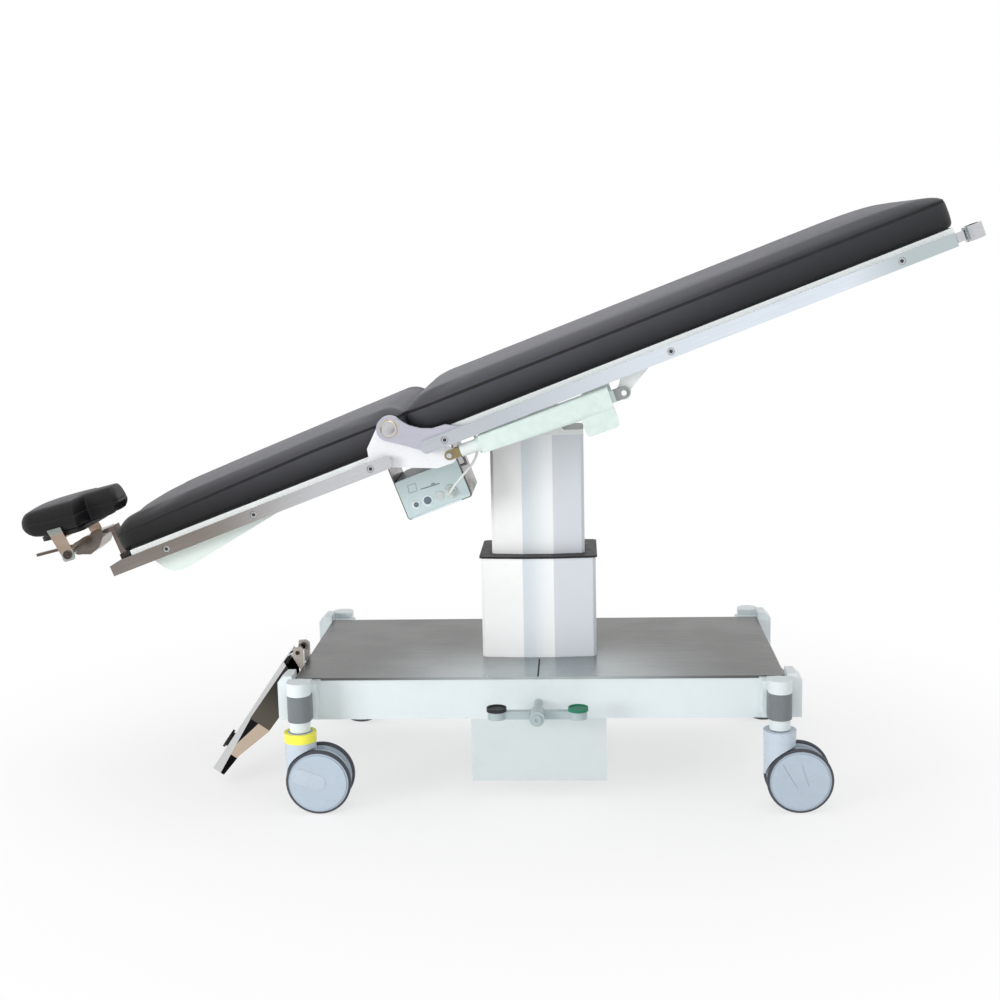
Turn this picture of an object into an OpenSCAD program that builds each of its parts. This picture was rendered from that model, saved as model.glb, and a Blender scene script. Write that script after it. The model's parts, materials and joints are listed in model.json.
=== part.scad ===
// Operating table for ear, nose and throat work: a wheeled base with a telescoping column,
// a tilting seat section, a powered back section and a clamped headrest. Millimetres.
// The column's centre is at X = column_x, +X runs to the foot end, the near side is at -Y.

/* [Stance] */
// Place of the column's centre along X
column_x = 119.2; // [0:0.1:400]
// Angle of the table top above level as it stands, foot end up
rest_tilt = 20.5; // [10:0.5:24]
// Angle of the headrest above level as it stands
head_tilt = 15; // [8:0.5:22]
// Height of the tilt axis above the floor as the table stands
tilt_z = 740; // [728:1:760]

/* [Base] */
// Length of the stainless cover of the base
cover_l = 944; // [900:2:1000]
// Width of the stainless cover of the base
cover_w = 456; // [440:2:480]
// Thickness of the cover sheet
cover_t = 2; // [1.5:0.5:3]
// Height of the top of the cover above the floor
cover_z = 245; // [240:1:252]
// Height of the underside of the side beams above the floor
beam_z = 161; // [156:1:166]
// Width of a side beam
beam_w = 40; // [32:1:50]
// Wall of the folded side beams
beam_wall = 4; // [3:0.5:6]
// Width of the two end beams along X
end_beam_l = 28; // [22:1:34]
// Height of the top of the end beams above the floor
end_beam_top = 258; // [254:1:264]
// Height of the underside of the end beams above the floor
end_beam_low = 172; // [166:1:178]
// Bevel on the outer top edge of the end beams
end_bevel = 12; // [4:1:18]
// Reach of the end beams from the middle of the table
end_beam_y = 262; // [258:1:270]
// Thickness of the deck plate that carries the column
deck_t = 12; // [8:1:16]
// Height of the top of the deck plate above the floor
deck_z = 231; // [226:1:234]
// Distance of the two cross plates from the middle of the base
cross_x = 150; // [145:1:200]

/* [Corner arms] */
// Inset of the caster stems from the cover's ends, along X
stem_inset = 16; // [10:1:32]
// Reach of the caster stems past the end beams, along Y
stem_reach = 20; // [13:1:33]
// Radius of the round end of a corner arm
arm_r = 22.5; // [20:0.5:26]
// Height of the top of a corner arm above the floor
arm_top = 253; // [248:1:257]
// Height of the upper edge of the grey sleeve on a corner arm
sleeve_top = 228; // [220:1:234]
// Height of the lower edge of the grey sleeve on a corner arm
sleeve_low = 177; // [174:1:184]
// Thickness of the grey sleeve
sleeve_t = 2.5; // [1.5:0.5:4]
// Radius of the white boss under a corner arm
boss_r = 20; // [17:0.5:20.5]
// Height of the underside of the boss above the floor
boss_low = 157; // [155:1:162]
// Width of the block that joins an arm to the beams
corner_l = 46; // [44:1:60]
// Depth of a corner block
corner_d = 50; // [40:5:70]

/* [Casters] */
// Diameter of a caster wheel
wheel_d = 125; // [110:1:130]
// Width of one of the two wheels of a caster
wheel_w = 24; // [18:1:26]
// Distance between the centre planes of a caster's two wheels
wheel_spacing = 40; // [40:1:46]
// Distance from the swivel axis to the axle
trail = 36; // [30:1:40]
// Thickness of the tyre
tyre_t = 4.5; // [4:0.5:9]
// Radius of the swivel housing
housing_r = 30; // [26:0.5:32]
// Height of the shoulder under the caster's ring
ring_low = 137; // [132:1:142]
// Outer radius of the ring on top of the housing
ring_r = 31; // [29:0.5:33]
// Radius of the neck inside the ring
neck_r = 24; // [22:0.5:26]
// Radius of the swivel stem
stem_r = 10; // [8:0.5:13]
// Radius of the wheel axle
axle_r = 6; // [4:0.5:8]
// Height of the lower end of a caster's stem above the axle
stem_low = 60; // [60:1:66]

/* [Lower housing] */
// Length of the box that hangs under the base
tub_l = 262; // [250:2:290]
// Height of the underside of the box above the floor
tub_z = 35; // [25:1:50]
// Wall of the box
tub_wall = 2.5; // [2:0.5:5]
// Thickness of the floor of the box
tub_floor = 6; // [4:1:10]
// Width of the battery pack
battery_w = 90; // [60:1:100]
// Height of the battery pack
battery_h = 90; // [60:1:110]

/* [Lock pedals] */
// Height of the lock pedal's shaft above the floor
lock_z = 192; // [186:1:200]
// Radius of the lock pedal's shaft
lock_shaft_r = 8; // [6:0.5:10]
// Distance from the shaft to the middle of a foot pad
pad_reach = 77; // [60:1:90]
// Radius of a foot pad
foot_pad_r = 19; // [14:0.5:22]
// Height of a foot pad above its bar
foot_pad_h = 7; // [5:1:12]
// Distance of the rocker bar from the table's middle
rocker_y = 300; // [290:1:310]
// Thickness of the rocker bar
rocker_t = 14; // [10:1:18]
// Height of the rocker bar
rocker_h = 15; // [12:1:17]

/* [Column] */
// Width of the outer column along X
outer_w = 230; // [225:1:240]
// Depth of the outer column along Y
outer_d = 180; // [176:1:190]
// Height of the top of the outer column above the floor
outer_top = 448; // [430:1:460]
// Width of the inner column along X
inner_w = 187; // [170:1:192]
// Depth of the inner column along Y
inner_d = 124; // [112:1:130]
// Height of the inner column's foot above the floor at rest
inner_low = 190; // [180:1:215]
// Height of the inner column's top above the floor at rest
inner_top = 692; // [680:1:696]
// Wall of both column tubes
mast_wall = 4; // [3:0.5:5]
// Width of the flat middle facet of the column faces
mast_facet = 62; // [40:1:80]
// Set-back of the side facets of the column faces
mast_rise = 7; // [4:1:12]
// Bevel on the corners of the column
mast_bevel = 6; // [3:1:9]
// Height of the black collar on the outer column
collar_h = 4; // [3:1:14]
// Depth of the collar's guide inside the outer column
guide_h = 60; // [40:1:80]

/* [Lift drive] */
// Radius of the lift drive's outer tube
lift_tube_r = 27; // [22:1:32]
// Height of the lift drive's outer tube above the floor
lift_tube_top = 430; // [400:1:440]
// Radius of the lift ram
lift_ram_r = 18; // [14:1:20]

/* [Tilt drive] */
// Radius of the tilt shaft
tilt_shaft_r = 15; // [12:0.5:18]
// Width across the two cheeks on the column head
head_cheek_y = 120; // [104:2:136]
// Thickness of a cheek on the column head
cheek_t = 14; // [10:1:18]
// Thickness of the plate on top of the inner column
head_plate_h = 10; // [8:1:14]
// Radius of the round top of a cheek
cheek_r = 28; // [24:1:32]
// Thickness of the hanger plates under the seat frame
hanger_t = 10; // [8:1:14]

/* [Table top] */
// Distance along the table from the back hinge to the tilt axis
tilt_u = 252; // [240:1:270]
// Distance of the tilt axis below the back hinge, square to the table
tilt_w = 88; // [84:1:96]
// Distance between the outer faces of the two side rails
rail_span = 560; // [550:2:580]
// Height of a side rail
rail_h = 25; // [22:0.5:30]
// Thickness of a side rail
rail_t = 10; // [8:0.5:12]
// Distance of the middle of the rails below the back hinge
rail_w = 56; // [52:1:62]
// Start of the seat rails, from the back hinge
seat_rail_start = 42; // [38:1:50]
// End of the seat rails, from the back hinge
seat_rail_end = 1075; // [1060:1:1085]
// End of the back rails at the hinge, from the back hinge
back_rail_end = 17; // [15:1:22]
// End of the back rails at the head, from the back hinge
back_rail_start = 594; // [575:1:604]
// Inset of the frame's long members from the rails' faces
frame_inset = 30; // [29:0.5:33]
// Width of a frame member
member_w = 25; // [20:1:30]
// Height of a frame member
member_h = 30; // [26:1:34]
// Distance of the frame's top face below the back hinge
deck_w = 36; // [34:1:40]
// End of the seat frame at the foot, from the back hinge
seat_frame_end = 1082; // [1078:1:1085]
// End of the back frame at the head, from the back hinge
back_frame_end = 578; // [560:1:586]
// Radius of the spacers behind the rails
spacer_r = 9; // [8:0.5:12]
// Reach of the middle ties from the tilt axis
tie_reach = 90; // [70:1:110]
// Place of the seat frame's middle cross member
seat_cross_u = 700; // [640:1:760]
// Place of the back frame's middle cross member
back_cross_u = 320; // [300:1:360]
// Gap between the column head's cheeks and the hangers
hanger_gap = 8; // [4:1:14]
// Radius of a rail screw's head
screw_head_r = 7; // [5:0.5:8]
// Radius of a rail screw's shank
screw_r = 4; // [3:0.5:5]
// Depth of a rail screw's head
screw_head_t = 5; // [4:0.5:6]

/* [Back hinge] */
// Radius of the round eye of the hinge plates
eye_r = 24; // [20:0.5:28]
// Thickness of the hinge plates on the seat section
hinge_plate_t = 8; // [6:0.5:10]
// Thickness of the lever plates on the back section
lever_t = 8; // [6:0.5:9]
// Radius of the hinge pins
hinge_pin_r = 9; // [7:0.5:11]
// Radius of the hinge pins' round caps
cap_r = 15.5; // [12:0.5:20]
// Thickness of the hinge pins' round caps
cap_t = 5; // [3:0.5:8]
// Thickness of the brass washer behind each cap
washer_t = 1.5; // [1:0.5:3]

/* [Back actuators] */
// Distance along the table from the back hinge to the rod pin
rod_pin_u = 85.5; // [80:0.5:90]
// Distance of the rod pin below the back hinge
rod_pin_w = 87; // [84:0.5:90]
// Distance along the table from the back hinge to the rear pin
rear_pin_u = 428.7; // [420:0.1:440]
// Distance of the rear pin below the back hinge
rear_pin_w = 96.4; // [94:0.1:99]
// Radius of the actuator pins
act_pin_r = 5; // [4:0.5:6]
// Radius of the actuator's ram
ram_r = 12; // [10:0.5:13]
// Length of the ram
ram_l = 250; // [225:1:260]
// Distance from the rod pin to the front of the ram
fork_l = 20; // [18:0.5:24]
// Length of the actuator's body from the rear pin
body_l = 281; // [270:1:290]
// Height of the actuator's body at its front
body_front_h = 33; // [30:1:36]
// Height of the actuator's body at its rear
body_rear_h = 45; // [38:1:46]
// Width of the actuator's body
body_w = 42; // [36:1:44]
// Drop of the motor below the actuator's centre line
motor_drop = 55; // [40:1:65]
// Length of the motor along the actuator
motor_l = 64; // [50:1:80]

/* [Pads] */
// Distance of the pads' sides in from the rails' outer faces
pad_inset = 31; // [30:1:40]
// Reach of the back pad past the back hinge
pad_end_r = 32; // [28:0.5:34]
// Gap between the back pad and the seat pad at the hinge
pad_gap = 1.5; // [0.5:0.5:4]
// End of the seat pad at the foot, from the back hinge
seat_pad_end = 1090; // [1070:1:1110]
// Thickness of the seat pad
seat_pad_h = 77; // [66:1:90]
// End of the back pad at the head, from the back hinge
back_pad_end = 577; // [568:1:590]
// Thickness of the back pad at its head end
back_pad_h0 = 59; // [50:1:66]
// Thickness of the back pad where it is thickest
back_pad_h1 = 74; // [68:1:80]
// Height of the crown in the middle of the pads
pad_crown = 5; // [2:1:8]
// Draw-in of a pad's sides at its underside
pad_draw = 8; // [3:1:14]

/* [Control box] */
// Length of the control box along the table
box_l = 130; // [110:1:136]
// Height of the control box
box_h = 77; // [60:1:90]
// Depth of the control box
box_d = 160; // [120:1:180]
// Distance from the back hinge to the control box's middle
box_u = 15; // [5:1:25]
// Distance of the top of the control box below the back hinge
box_w = 110; // [104:1:116]
// Distance of the control box's near face from the middle
box_y = 150; // [130:1:170]
// Thickness of the steel cradle round the control box
cradle_t = 2.5; // [2:0.5:4]
// Radius of the control box's long edges
box_r = 4; // [2:0.5:8]
// Depth of the four round sockets in the control box
socket_depth = 3.5; // [2:0.5:3.8]

/* [Pole sockets] */
// Inner radius of the pole sockets at the foot end
pole_bore_r = 12.6; // [10:0.1:14]
// Wall of the pole sockets
pole_wall = 6; // [4:0.5:8]
// Length of the pole sockets
pole_l = 27; // [24:1:40]

/* [Headrest] */
// Distance from the back hinge to the headrest's pivot
head_u = 731.5; // [720:0.5:760]
// Distance of the headrest's pivot below the back hinge
head_w = 9.7; // [5:0.1:16]
// Radius of the headrest's pivot pin
head_pin_r = 5; // [4:0.5:6]
// Length of the head pad
head_pad_l = 190; // [170:1:205]
// Distance from the headrest's pivot to the head pad's outer end
head_pad_back = 85; // [70:1:95]
// Height of the head pad's underside above the pivot
head_pad_q = 46; // [42:1:52]
// Thickness of the head pad
head_pad_h = 60; // [48:1:66]
// Half of the width of the wide part of the head pad
head_half_w = 97; // [85:1:110]
// Half of the width of the narrow part of the head pad
neck_half_w = 32; // [26:1:50]
// Thickness of the plate under the head pad
head_plate_t = 9; // [6:1:12]
// Width of the bracket that carries the headrest
strap_w = 26; // [20:1:32]
// Thickness of the bracket that carries the headrest
strap_t = 3; // [2:0.5:4]
// Gap between the head pad's side and the bracket's legs
strap_gap = 3; // [2:0.5:6]
// Half of the width of the clamp block at the headrest's pivot
clamp_y = 40; // [36:1:46]
// Thickness of the flat steel head arm
arm_bar_t = 9; // [7:0.5:11]
// Half of the width of the flat steel head arm
arm_bar_y = 20; // [14:1:24]
// Distance of the head arm's slide below the back hinge
slide_w = 52; // [50:0.5:55]
// Length of the head arm's slide
slide_l = 190; // [150:1:200]
// Length of the release lever
release_l = 103; // [90:1:112]
// Half of the thickness of the release lever
release_y = 5.5; // [4:0.5:7]

/* [Foot control] */
// Half of the width of the foot control's tray
tray_half_w = 60; // [50:1:70]
// Length of the tray
tray_l = 292; // [240:1:300]
// Angle of the tray from upright
tray_angle = 34.5; // [32:0.5:37]
// Depth of the tray's cheeks at their widest
tray_depth = 54; // [44:1:58]
// Thickness of the tray's sheet
tray_t = 2; // [1.5:0.5:3]
// Height of the tray's pivot above the floor
tray_pivot_z = 267; // [265:1:272]
// Radius of the tray's pivot pin
tray_pin_r = 4; // [3:0.5:5]
// Radius of the foot button
button_r = 20; // [14:1:24]
// Height of the foot button above the tray
button_h = 9; // [6:1:12]
// Distance of the tray's middle from the base's middle
tray_mid = 90; // [70:1:100]
// Distance along the tray from its pivot to the foot button
button_s = 245; // [200:1:255]

/* [Fits] */
// Radial clearance of a pin that turns in its bore
run = 0.05; // [0.03:0.01:0.08]
// Clearance between parts that lie beside each other
near = 0.3; // [0.2:0.1:0.6]
// Clearance of the inner column in the collar's guide
slide = 0.6; // [0.4:0.1:1]

/* [Hidden] */

paint = "#e6efed";
steel = "#b9bcbe";
stainless = "#8f9294";
charcoal = "#26282b";
pale_blue = "#b4c3d2";
mint = "#d8e6e1";
brass = "#c8a860";

// Fineness of round faces, by their size
fine = 64;
small = 32;
// Overlap that lets cuts run past a face and solids of one piece fuse
past = 1;

half_l = cover_l / 2;
half_w = cover_w / 2;
end_x = half_l + end_beam_l;
stem_x = half_l - stem_inset;
stem_y = end_beam_y + stem_reach;
under_cover = cover_z - cover_t;
inner_y = half_w - beam_w;
// Wheel and axle
wheel_r = wheel_d / 2;
hub_r = wheel_r - tyre_t;
web_t = wheel_spacing - wheel_w - 2;
wheel_clear = 2;
// Rail planes, measured outward from the middle of the table
rail_out = rail_span / 2;
rail_in = rail_out - rail_t;
member_out = rail_out - frame_inset;
member_in = member_out - member_w;
pad_half_w = rail_out - pad_inset;
hinge_in = rail_in - hinge_plate_t;
lever_out = hinge_in - near;
lever_in = lever_out - lever_t;
act_y = (lever_in + lever_out) / 2;
// Half thickness of the actuator's rear eye
eye_y = act_y - member_out - near;
frame_low = deck_w + member_h;
// Rail screws, measured from the back hinge
seat_screws_u = [90, 535, 973];
back_screws_u = [-59, -298, -479];
// Actuator line, from the rear pin to the rod pin
act_du = rear_pin_u - rod_pin_u;
act_dw = rear_pin_w - rod_pin_w;
act_len = norm([act_du, act_dw]);
act_angle = atan2(act_dw, act_du);
// Headrest and tray
head_plate_q = head_pad_q - head_plate_t;
strap_y = head_half_w + strap_gap;
tray_pivot_x = -(end_x - 14);
function tray_point(s, n) = [
    tray_pivot_x - s * sin(tray_angle) + n * cos(tray_angle),
    tray_pivot_z - s * cos(tray_angle) - n * sin(tray_angle)
];
// Distance of the tray's outer face from its pivot
tray_face = 15;
// Lugs of the tray's pivot
lug_out = tray_half_w - 26;
lug_t = 8;
// Underside of the rails
rail_low = rail_w + rail_h / 2;
// Hangers of the tilt shaft, and the shaft's end
hanger_y = head_cheek_y / 2 + hanger_gap;
shaft_end = hanger_y + hanger_t + 4;
// Height of the top of the caster's neck, just under the arm's boss
neck_top = boss_low - 2;
stem_low_z = wheel_r + stem_low;

module on_base() {
    translate([column_x, 0, 0])
        children();
}

// Table coordinates: x along the table from the back hinge, z square to it
module on_table() {
    translate([column_x, 0, tilt_z])
        rotate([0, -rest_tilt, 0])
            translate([-tilt_u, 0, tilt_w])
                children();
}

module on_head() {
    on_table()
        translate([-head_u, 0, -head_w])
            rotate([0, rest_tilt - head_tilt, 0])
                children();
}

// Actuator coordinates: the rear pin at the origin, the rod towards -X
module on_actuator() {
    on_table()
        translate([rear_pin_u, 0, -rear_pin_w])
            rotate([0, act_angle, 0])
                children();
}

module both_sides() {
    children();
    mirror([0, 1, 0])
        children();
}

module both_ends() {
    children();
    mirror([1, 0, 0])
        children();
}

module block(low, high) {
    translate(low)
        cube(high - low);
}

// A round bar along Y
module bar_y(r, y0, y1) {
    translate([0, y1, 0])
        rotate([90, 0, 0])
            cylinder(r = r, h = y1 - y0, $fn = r > 10 ? fine : small);
}

// A flat outline drawn in X and Z, made solid from y0 to y1
module plate_y(y0, y1) {
    translate([0, y1, 0])
        rotate([90, 0, 0])
            linear_extrude(y1 - y0)
                children();
}

module round_rect(w, h, r) {
    square([w - 2 * r, h], center = true);
    square([w, h - 2 * r], center = true);
    for (x = [-1, 1], y = [-1, 1])
        translate([x * (w / 2 - r), y * (h / 2 - r)])
            circle(r, $fn = small);
}

// Outline of the column, with a flat middle facet and set-back side facets
function mast_outline(w, d) = let (a = w / 2, b = d / 2, c = b - mast_rise, f = mast_facet / 2) [
    [-a, -(c - mast_bevel)], [-(a - mast_bevel), -c], [-f, -b], [f, -b],
    [a - mast_bevel, -c], [a, -(c - mast_bevel)],
    [a, c - mast_bevel], [a - mast_bevel, c], [f, b], [-f, b],
    [-(a - mast_bevel), c], [-a, c - mast_bevel]
];

module mast_tube(w, d, wall, low, high) {
    translate([0, 0, low])
        linear_extrude(high - low)
            difference() {
                polygon(mast_outline(w, d));
                polygon(mast_outline(w - 2 * wall, d - 2 * wall));
            }
}

module arm_shape(r, y0) {
    translate([0, stem_y])
        circle(r, $fn = fine);
    translate([-r, y0])
        square([2 * r, stem_y - y0]);
}

module corners() {
    both_sides()
        both_ends()
            children();
}

module base_frame() color(paint) on_base() {
    boss_wall = 8;
    difference() {
        union() {
            // Folded side beams, open towards the middle
            both_sides()
                difference() {
                    block([-(half_l + past), inner_y, beam_z], [half_l + past, half_w, under_cover]);
                    block([-(half_l + 2 * past), inner_y - past, beam_z + beam_wall],
                          [half_l + 2 * past, half_w - beam_wall, under_cover - beam_wall]);
                }
            // Cross members under the cover's ends
            both_ends()
                block([half_l - corner_l, -half_w, beam_z], [half_l + past, half_w, under_cover]);
            // Deck plate and cross plates under the column
            block([-cross_x, -inner_y - past, deck_z - deck_t], [cross_x, inner_y + past, deck_z]);
            both_ends()
                block([cross_x - past, -inner_y - past, beam_z],
                      [cross_x + beam_wall, inner_y + past, deck_z]);
            // Bosses behind the lock pedals
            both_sides()
                translate([0, 0, lock_z])
                    bar_y(lock_shaft_r + boss_wall, inner_y, half_w - past);
            // Bevelled corner blocks, arms and stem bosses
            corners() {
                block([half_l - corner_l, half_w - beam_wall, end_beam_low],
                      [half_l + past, end_beam_y, under_cover]);
                plate_y(end_beam_y - corner_d, end_beam_y)
                    polygon([[half_l, end_beam_low], [end_x, end_beam_low],
                             [end_x, end_beam_top - end_bevel], [end_x - end_bevel, end_beam_top],
                             [half_l, end_beam_top]]);
                translate([stem_x, 0, sleeve_top])
                    linear_extrude(arm_top - sleeve_top)
                        arm_shape(arm_r, end_beam_y - past);
                translate([stem_x, 0, sleeve_low])
                    linear_extrude(sleeve_top - sleeve_low + past)
                        arm_shape(arm_r - sleeve_t - run, end_beam_y - past);
                translate([stem_x, stem_y, boss_low])
                    cylinder(r = boss_r, h = sleeve_low - boss_low + past, $fn = fine);
            }
            // Lugs that carry the foot control
            translate([0, -tray_mid, 0])
                both_sides()
                    plate_y(lug_out - lug_t, lug_out)
                        translate([tray_pivot_x, tray_pivot_z])
                            polygon([[-10, -9], [13.5, -50], [13.5, 5], [6, 10], [-8, 9]]);
        }
        // Well for the inner column
        block([-(outer_w / 2 - mast_wall), -(outer_d / 2 - mast_rise - mast_wall), deck_z - deck_t - past],
              [outer_w / 2 - mast_wall, outer_d / 2 - mast_rise - mast_wall, deck_z + past]);
        translate([0, 0, lock_z])
            bar_y(lock_shaft_r + run, -half_w - past, half_w + past);
        translate([tray_pivot_x, -tray_mid, tray_pivot_z])
            bar_y(tray_pin_r + run, -tray_half_w, tray_half_w);
        corners()
            translate([stem_x, stem_y, boss_low - past])
                cylinder(r = stem_r + run, h = sleeve_low - boss_low + past, $fn = fine);
    }
}

// One half of the folded stainless cover, cut out round the column
module cover_half() {
    reach = half_l - 1;
    lip = 3;
    corner_gap = 4;
    difference() {
        block([near, -half_w - cover_t, under_cover - lip], [reach, half_w + cover_t, cover_z]);
        block([-past, -half_w - run, under_cover - lip - past], [reach + past, half_w + run, under_cover]);
        translate([0, 0, under_cover - past])
            linear_extrude(cover_t + 2 * past)
                polygon(mast_outline(outer_w + 2 * past, outer_d + 2 * past));
        // The lip stops short of the corner blocks
        both_sides()
            block([half_l - corner_l - corner_gap, half_w + run, under_cover - lip - past],
                  [half_l, half_w + cover_t + past, under_cover]);
    }
}

module cover_head() color(stainless) on_base() {
    mirror([1, 0, 0])
        cover_half();
}

module cover_foot() color(stainless) on_base() {
    cover_half();
}

module arm_sleeves() color("#5f666c") on_base() {
    corners()
        translate([stem_x, 0, sleeve_low])
            linear_extrude(sleeve_top - sleeve_low)
                difference() {
                    arm_shape(arm_r, end_beam_y);
                    arm_shape(arm_r - sleeve_t, end_beam_y - past);
                    translate([-2 * arm_r, 0])
                        square([4 * arm_r, end_beam_y + near]);
                }
}

// Steel stems that the casters turn on
module caster_stems() color(steel) on_base() {
    corners()
        translate([stem_x, stem_y, stem_low_z])
            cylinder(r = stem_r, h = sleeve_low - past - stem_low_z, $fn = fine);
}

module lower_housing() color(paint) on_base() {
    difference() {
        block([-tub_l / 2, -half_w, tub_z], [tub_l / 2, half_w, beam_z]);
        block([-tub_l / 2 + tub_wall, -half_w + tub_wall, tub_z + tub_floor],
              [tub_l / 2 - tub_wall, half_w - tub_wall, beam_z + past]);
    }
}

// Battery at the far side and power supply at the near side
module power_pack() color("#33383d") on_base() {
    gap = 12;
    both_sides()
        block([-tub_l / 2 + tub_wall + gap, half_w - tub_wall - gap - battery_w, tub_z + tub_floor],
              [tub_l / 2 - tub_wall - gap, half_w - tub_wall - gap, tub_z + tub_floor + battery_h]);
}

module column_outer() color(paint) on_base() {
    mast_tube(outer_w, outer_d, mast_wall, deck_z, outer_top);
    // Foot flange, hidden under the cover
    flange = 14;
    translate([0, 0, deck_z])
        linear_extrude(under_cover - deck_z - 2)
            difference() {
                square([outer_w + 2 * flange, outer_d + 2 * flange], center = true);
                polygon(mast_outline(outer_w - 2 * mast_wall, outer_d - 2 * mast_wall));
            }
}

// Black collar that wipes the inner column, with its guide inside the outer column
module column_collar() color(charcoal) on_base() {
    lip = 3;
    bore_w = inner_w + 2 * slide;
    bore_d = inner_d + 2 * slide;
    difference() {
        union() {
            translate([0, 0, outer_top])
                linear_extrude(collar_h)
                    polygon(mast_outline(outer_w + 2 * lip, outer_d + 2 * lip));
            translate([0, 0, outer_top - guide_h])
                linear_extrude(guide_h + past)
                    polygon(mast_outline(outer_w - 2 * mast_wall - near, outer_d - 2 * mast_wall - near));
        }
        translate([0, 0, outer_top - guide_h - past])
            linear_extrude(guide_h + collar_h + 2 * past)
                polygon(mast_outline(bore_w, bore_d));
    }
}

// Outer tube, foot and motor of the lift drive
module lift_actuator() color(steel) on_base() {
    floor_z = tub_z + tub_floor;
    flange_w = 16;
    flange_t = 8;
    floor_t = 12;
    difference() {
        union() {
            translate([0, 0, floor_z])
                cylinder(r = lift_tube_r, h = lift_tube_top - floor_z, $fn = fine);
            translate([0, 0, floor_z])
                cylinder(r = lift_tube_r + flange_w, h = flange_t, $fn = fine);
        }
        translate([0, 0, floor_z + floor_t])
            cylinder(r = lift_ram_r + run, h = lift_tube_top, $fn = fine);
    }
}

// Rocker bar of one lock pedal with its stub shaft and the crank inside the beam
module lock_bar() {
    lock_hub_r = 14.5;
    hub_front = rocker_y + 30;
    hub_back = rocker_y - rocker_t / 2 - 4;
    nose = 4;
    socket_r = 4;
    socket_t = 2;
    crank = [12, 10, 26];
    crank_gap = 2;
    translate([0, 0, lock_z])
        difference() {
            union() {
                bar_y(lock_shaft_r, -hub_front - nose, -inner_y + crank_gap + crank.y);
                bar_y(lock_hub_r, -hub_front, -hub_back);
                block([-pad_reach, -rocker_y - rocker_t / 2, -rocker_h / 2],
                      [pad_reach, -rocker_y + rocker_t / 2, rocker_h / 2]);
                both_ends()
                    translate([pad_reach, -rocker_y, -rocker_h / 2])
                        cylinder(r = foot_pad_r - 2, h = rocker_h, $fn = fine);
                // Crank that pulls the lock rods
                translate([-crank.x / 2, -inner_y + crank_gap, -crank.z])
                    cube(crank);
            }
            bar_y(socket_r, -hub_front - nose - past, -hub_front - nose + socket_t);
        }
}

// Round rubber foot pads on the ends of a rocker bar
module lock_pads() {
    rim = 3;
    dish = 2;
    both_ends()
        translate([pad_reach, -rocker_y, lock_z + rocker_h / 2])
            difference() {
                cylinder(r = foot_pad_r, h = foot_pad_h, $fn = fine);
                translate([0, 0, foot_pad_h - dish])
                    cylinder(r = foot_pad_r - rim, h = dish + past, $fn = fine);
            }
}

module lock_bar_near() color("#82918f") on_base() lock_bar();
module lock_pads_near() color("#2f5c50") on_base() lock_pads();
module lock_bar_far() color("#82918f") on_base() mirror([0, 1, 0]) lock_bar();
module lock_pads_far() color("#2f5c50") on_base() mirror([0, 1, 0]) lock_pads();

module column_inner() color(paint) on_base() {
    mast_tube(inner_w, inner_d, mast_wall, inner_low, inner_top);
}

module lift_ram() color(steel) on_base() {
    translate([0, 0, inner_low])
        cylinder(r = lift_ram_r, h = inner_top - inner_low, $fn = fine);
}

// Head plate on the inner column with two bored cheeks for the tilt shaft
module column_head() color(paint) on_base() {
    cheek_foot = 60;
    difference() {
        union() {
            translate([0, 0, inner_top])
                linear_extrude(head_plate_h)
                    polygon(mast_outline(inner_w, inner_d));
            both_sides()
                plate_y(head_cheek_y / 2 - cheek_t, head_cheek_y / 2) {
                    translate([0, tilt_z])
                        circle(cheek_r, $fn = fine);
                    polygon([[-cheek_foot, inner_top + past], [cheek_foot, inner_top + past],
                             [cheek_r, tilt_z], [-cheek_r, tilt_z]]);
                }
        }
        translate([0, 0, tilt_z])
            bar_y(tilt_shaft_r + run, -head_cheek_y, head_cheek_y);
    }
}

// Gear housing between the cheeks, with its motor along X
module tilt_drive() color("#7d858b") on_base() {
    reach = head_cheek_y / 2 - cheek_t - near;
    low = inner_top + head_plate_h;
    gear_r = cheek_r - 4;
    gear_low = 8;
    motor_r = 16;
    motor_reach = 38;
    difference() {
        union() {
            translate([0, 0, tilt_z])
                bar_y(gear_r, -reach, reach);
            block([-cheek_r, -reach, low], [cheek_r, reach, tilt_z - gear_low]);
            translate([-cheek_r - motor_reach, 0, low + motor_r])
                rotate([0, 90, 0])
                    cylinder(r = motor_r, h = motor_reach + past, $fn = fine);
        }
        translate([0, 0, tilt_z])
            bar_y(tilt_shaft_r + run, -reach - past, reach + past);
    }
}

// One long member of a frame, from u0 to u1
module long_member(u0, u1) {
    block([u0, member_in, -frame_low], [u1, member_out, -deck_w]);
}

module cross_member(u) {
    block([u, -member_in - past, -frame_low], [u + member_w, member_in + past, -deck_w]);
}

// Spacer between a long member and what lies outside it
module spacer(u, y1) {
    translate([u, 0, -rail_w])
        bar_y(spacer_r, member_out - past, y1);
}

module screw_bores(list) {
    for (u = list)
        translate([u, 0, -rail_w])
            bar_y(screw_r + run, member_in - 2 * past, rail_out + past);
}

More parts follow.
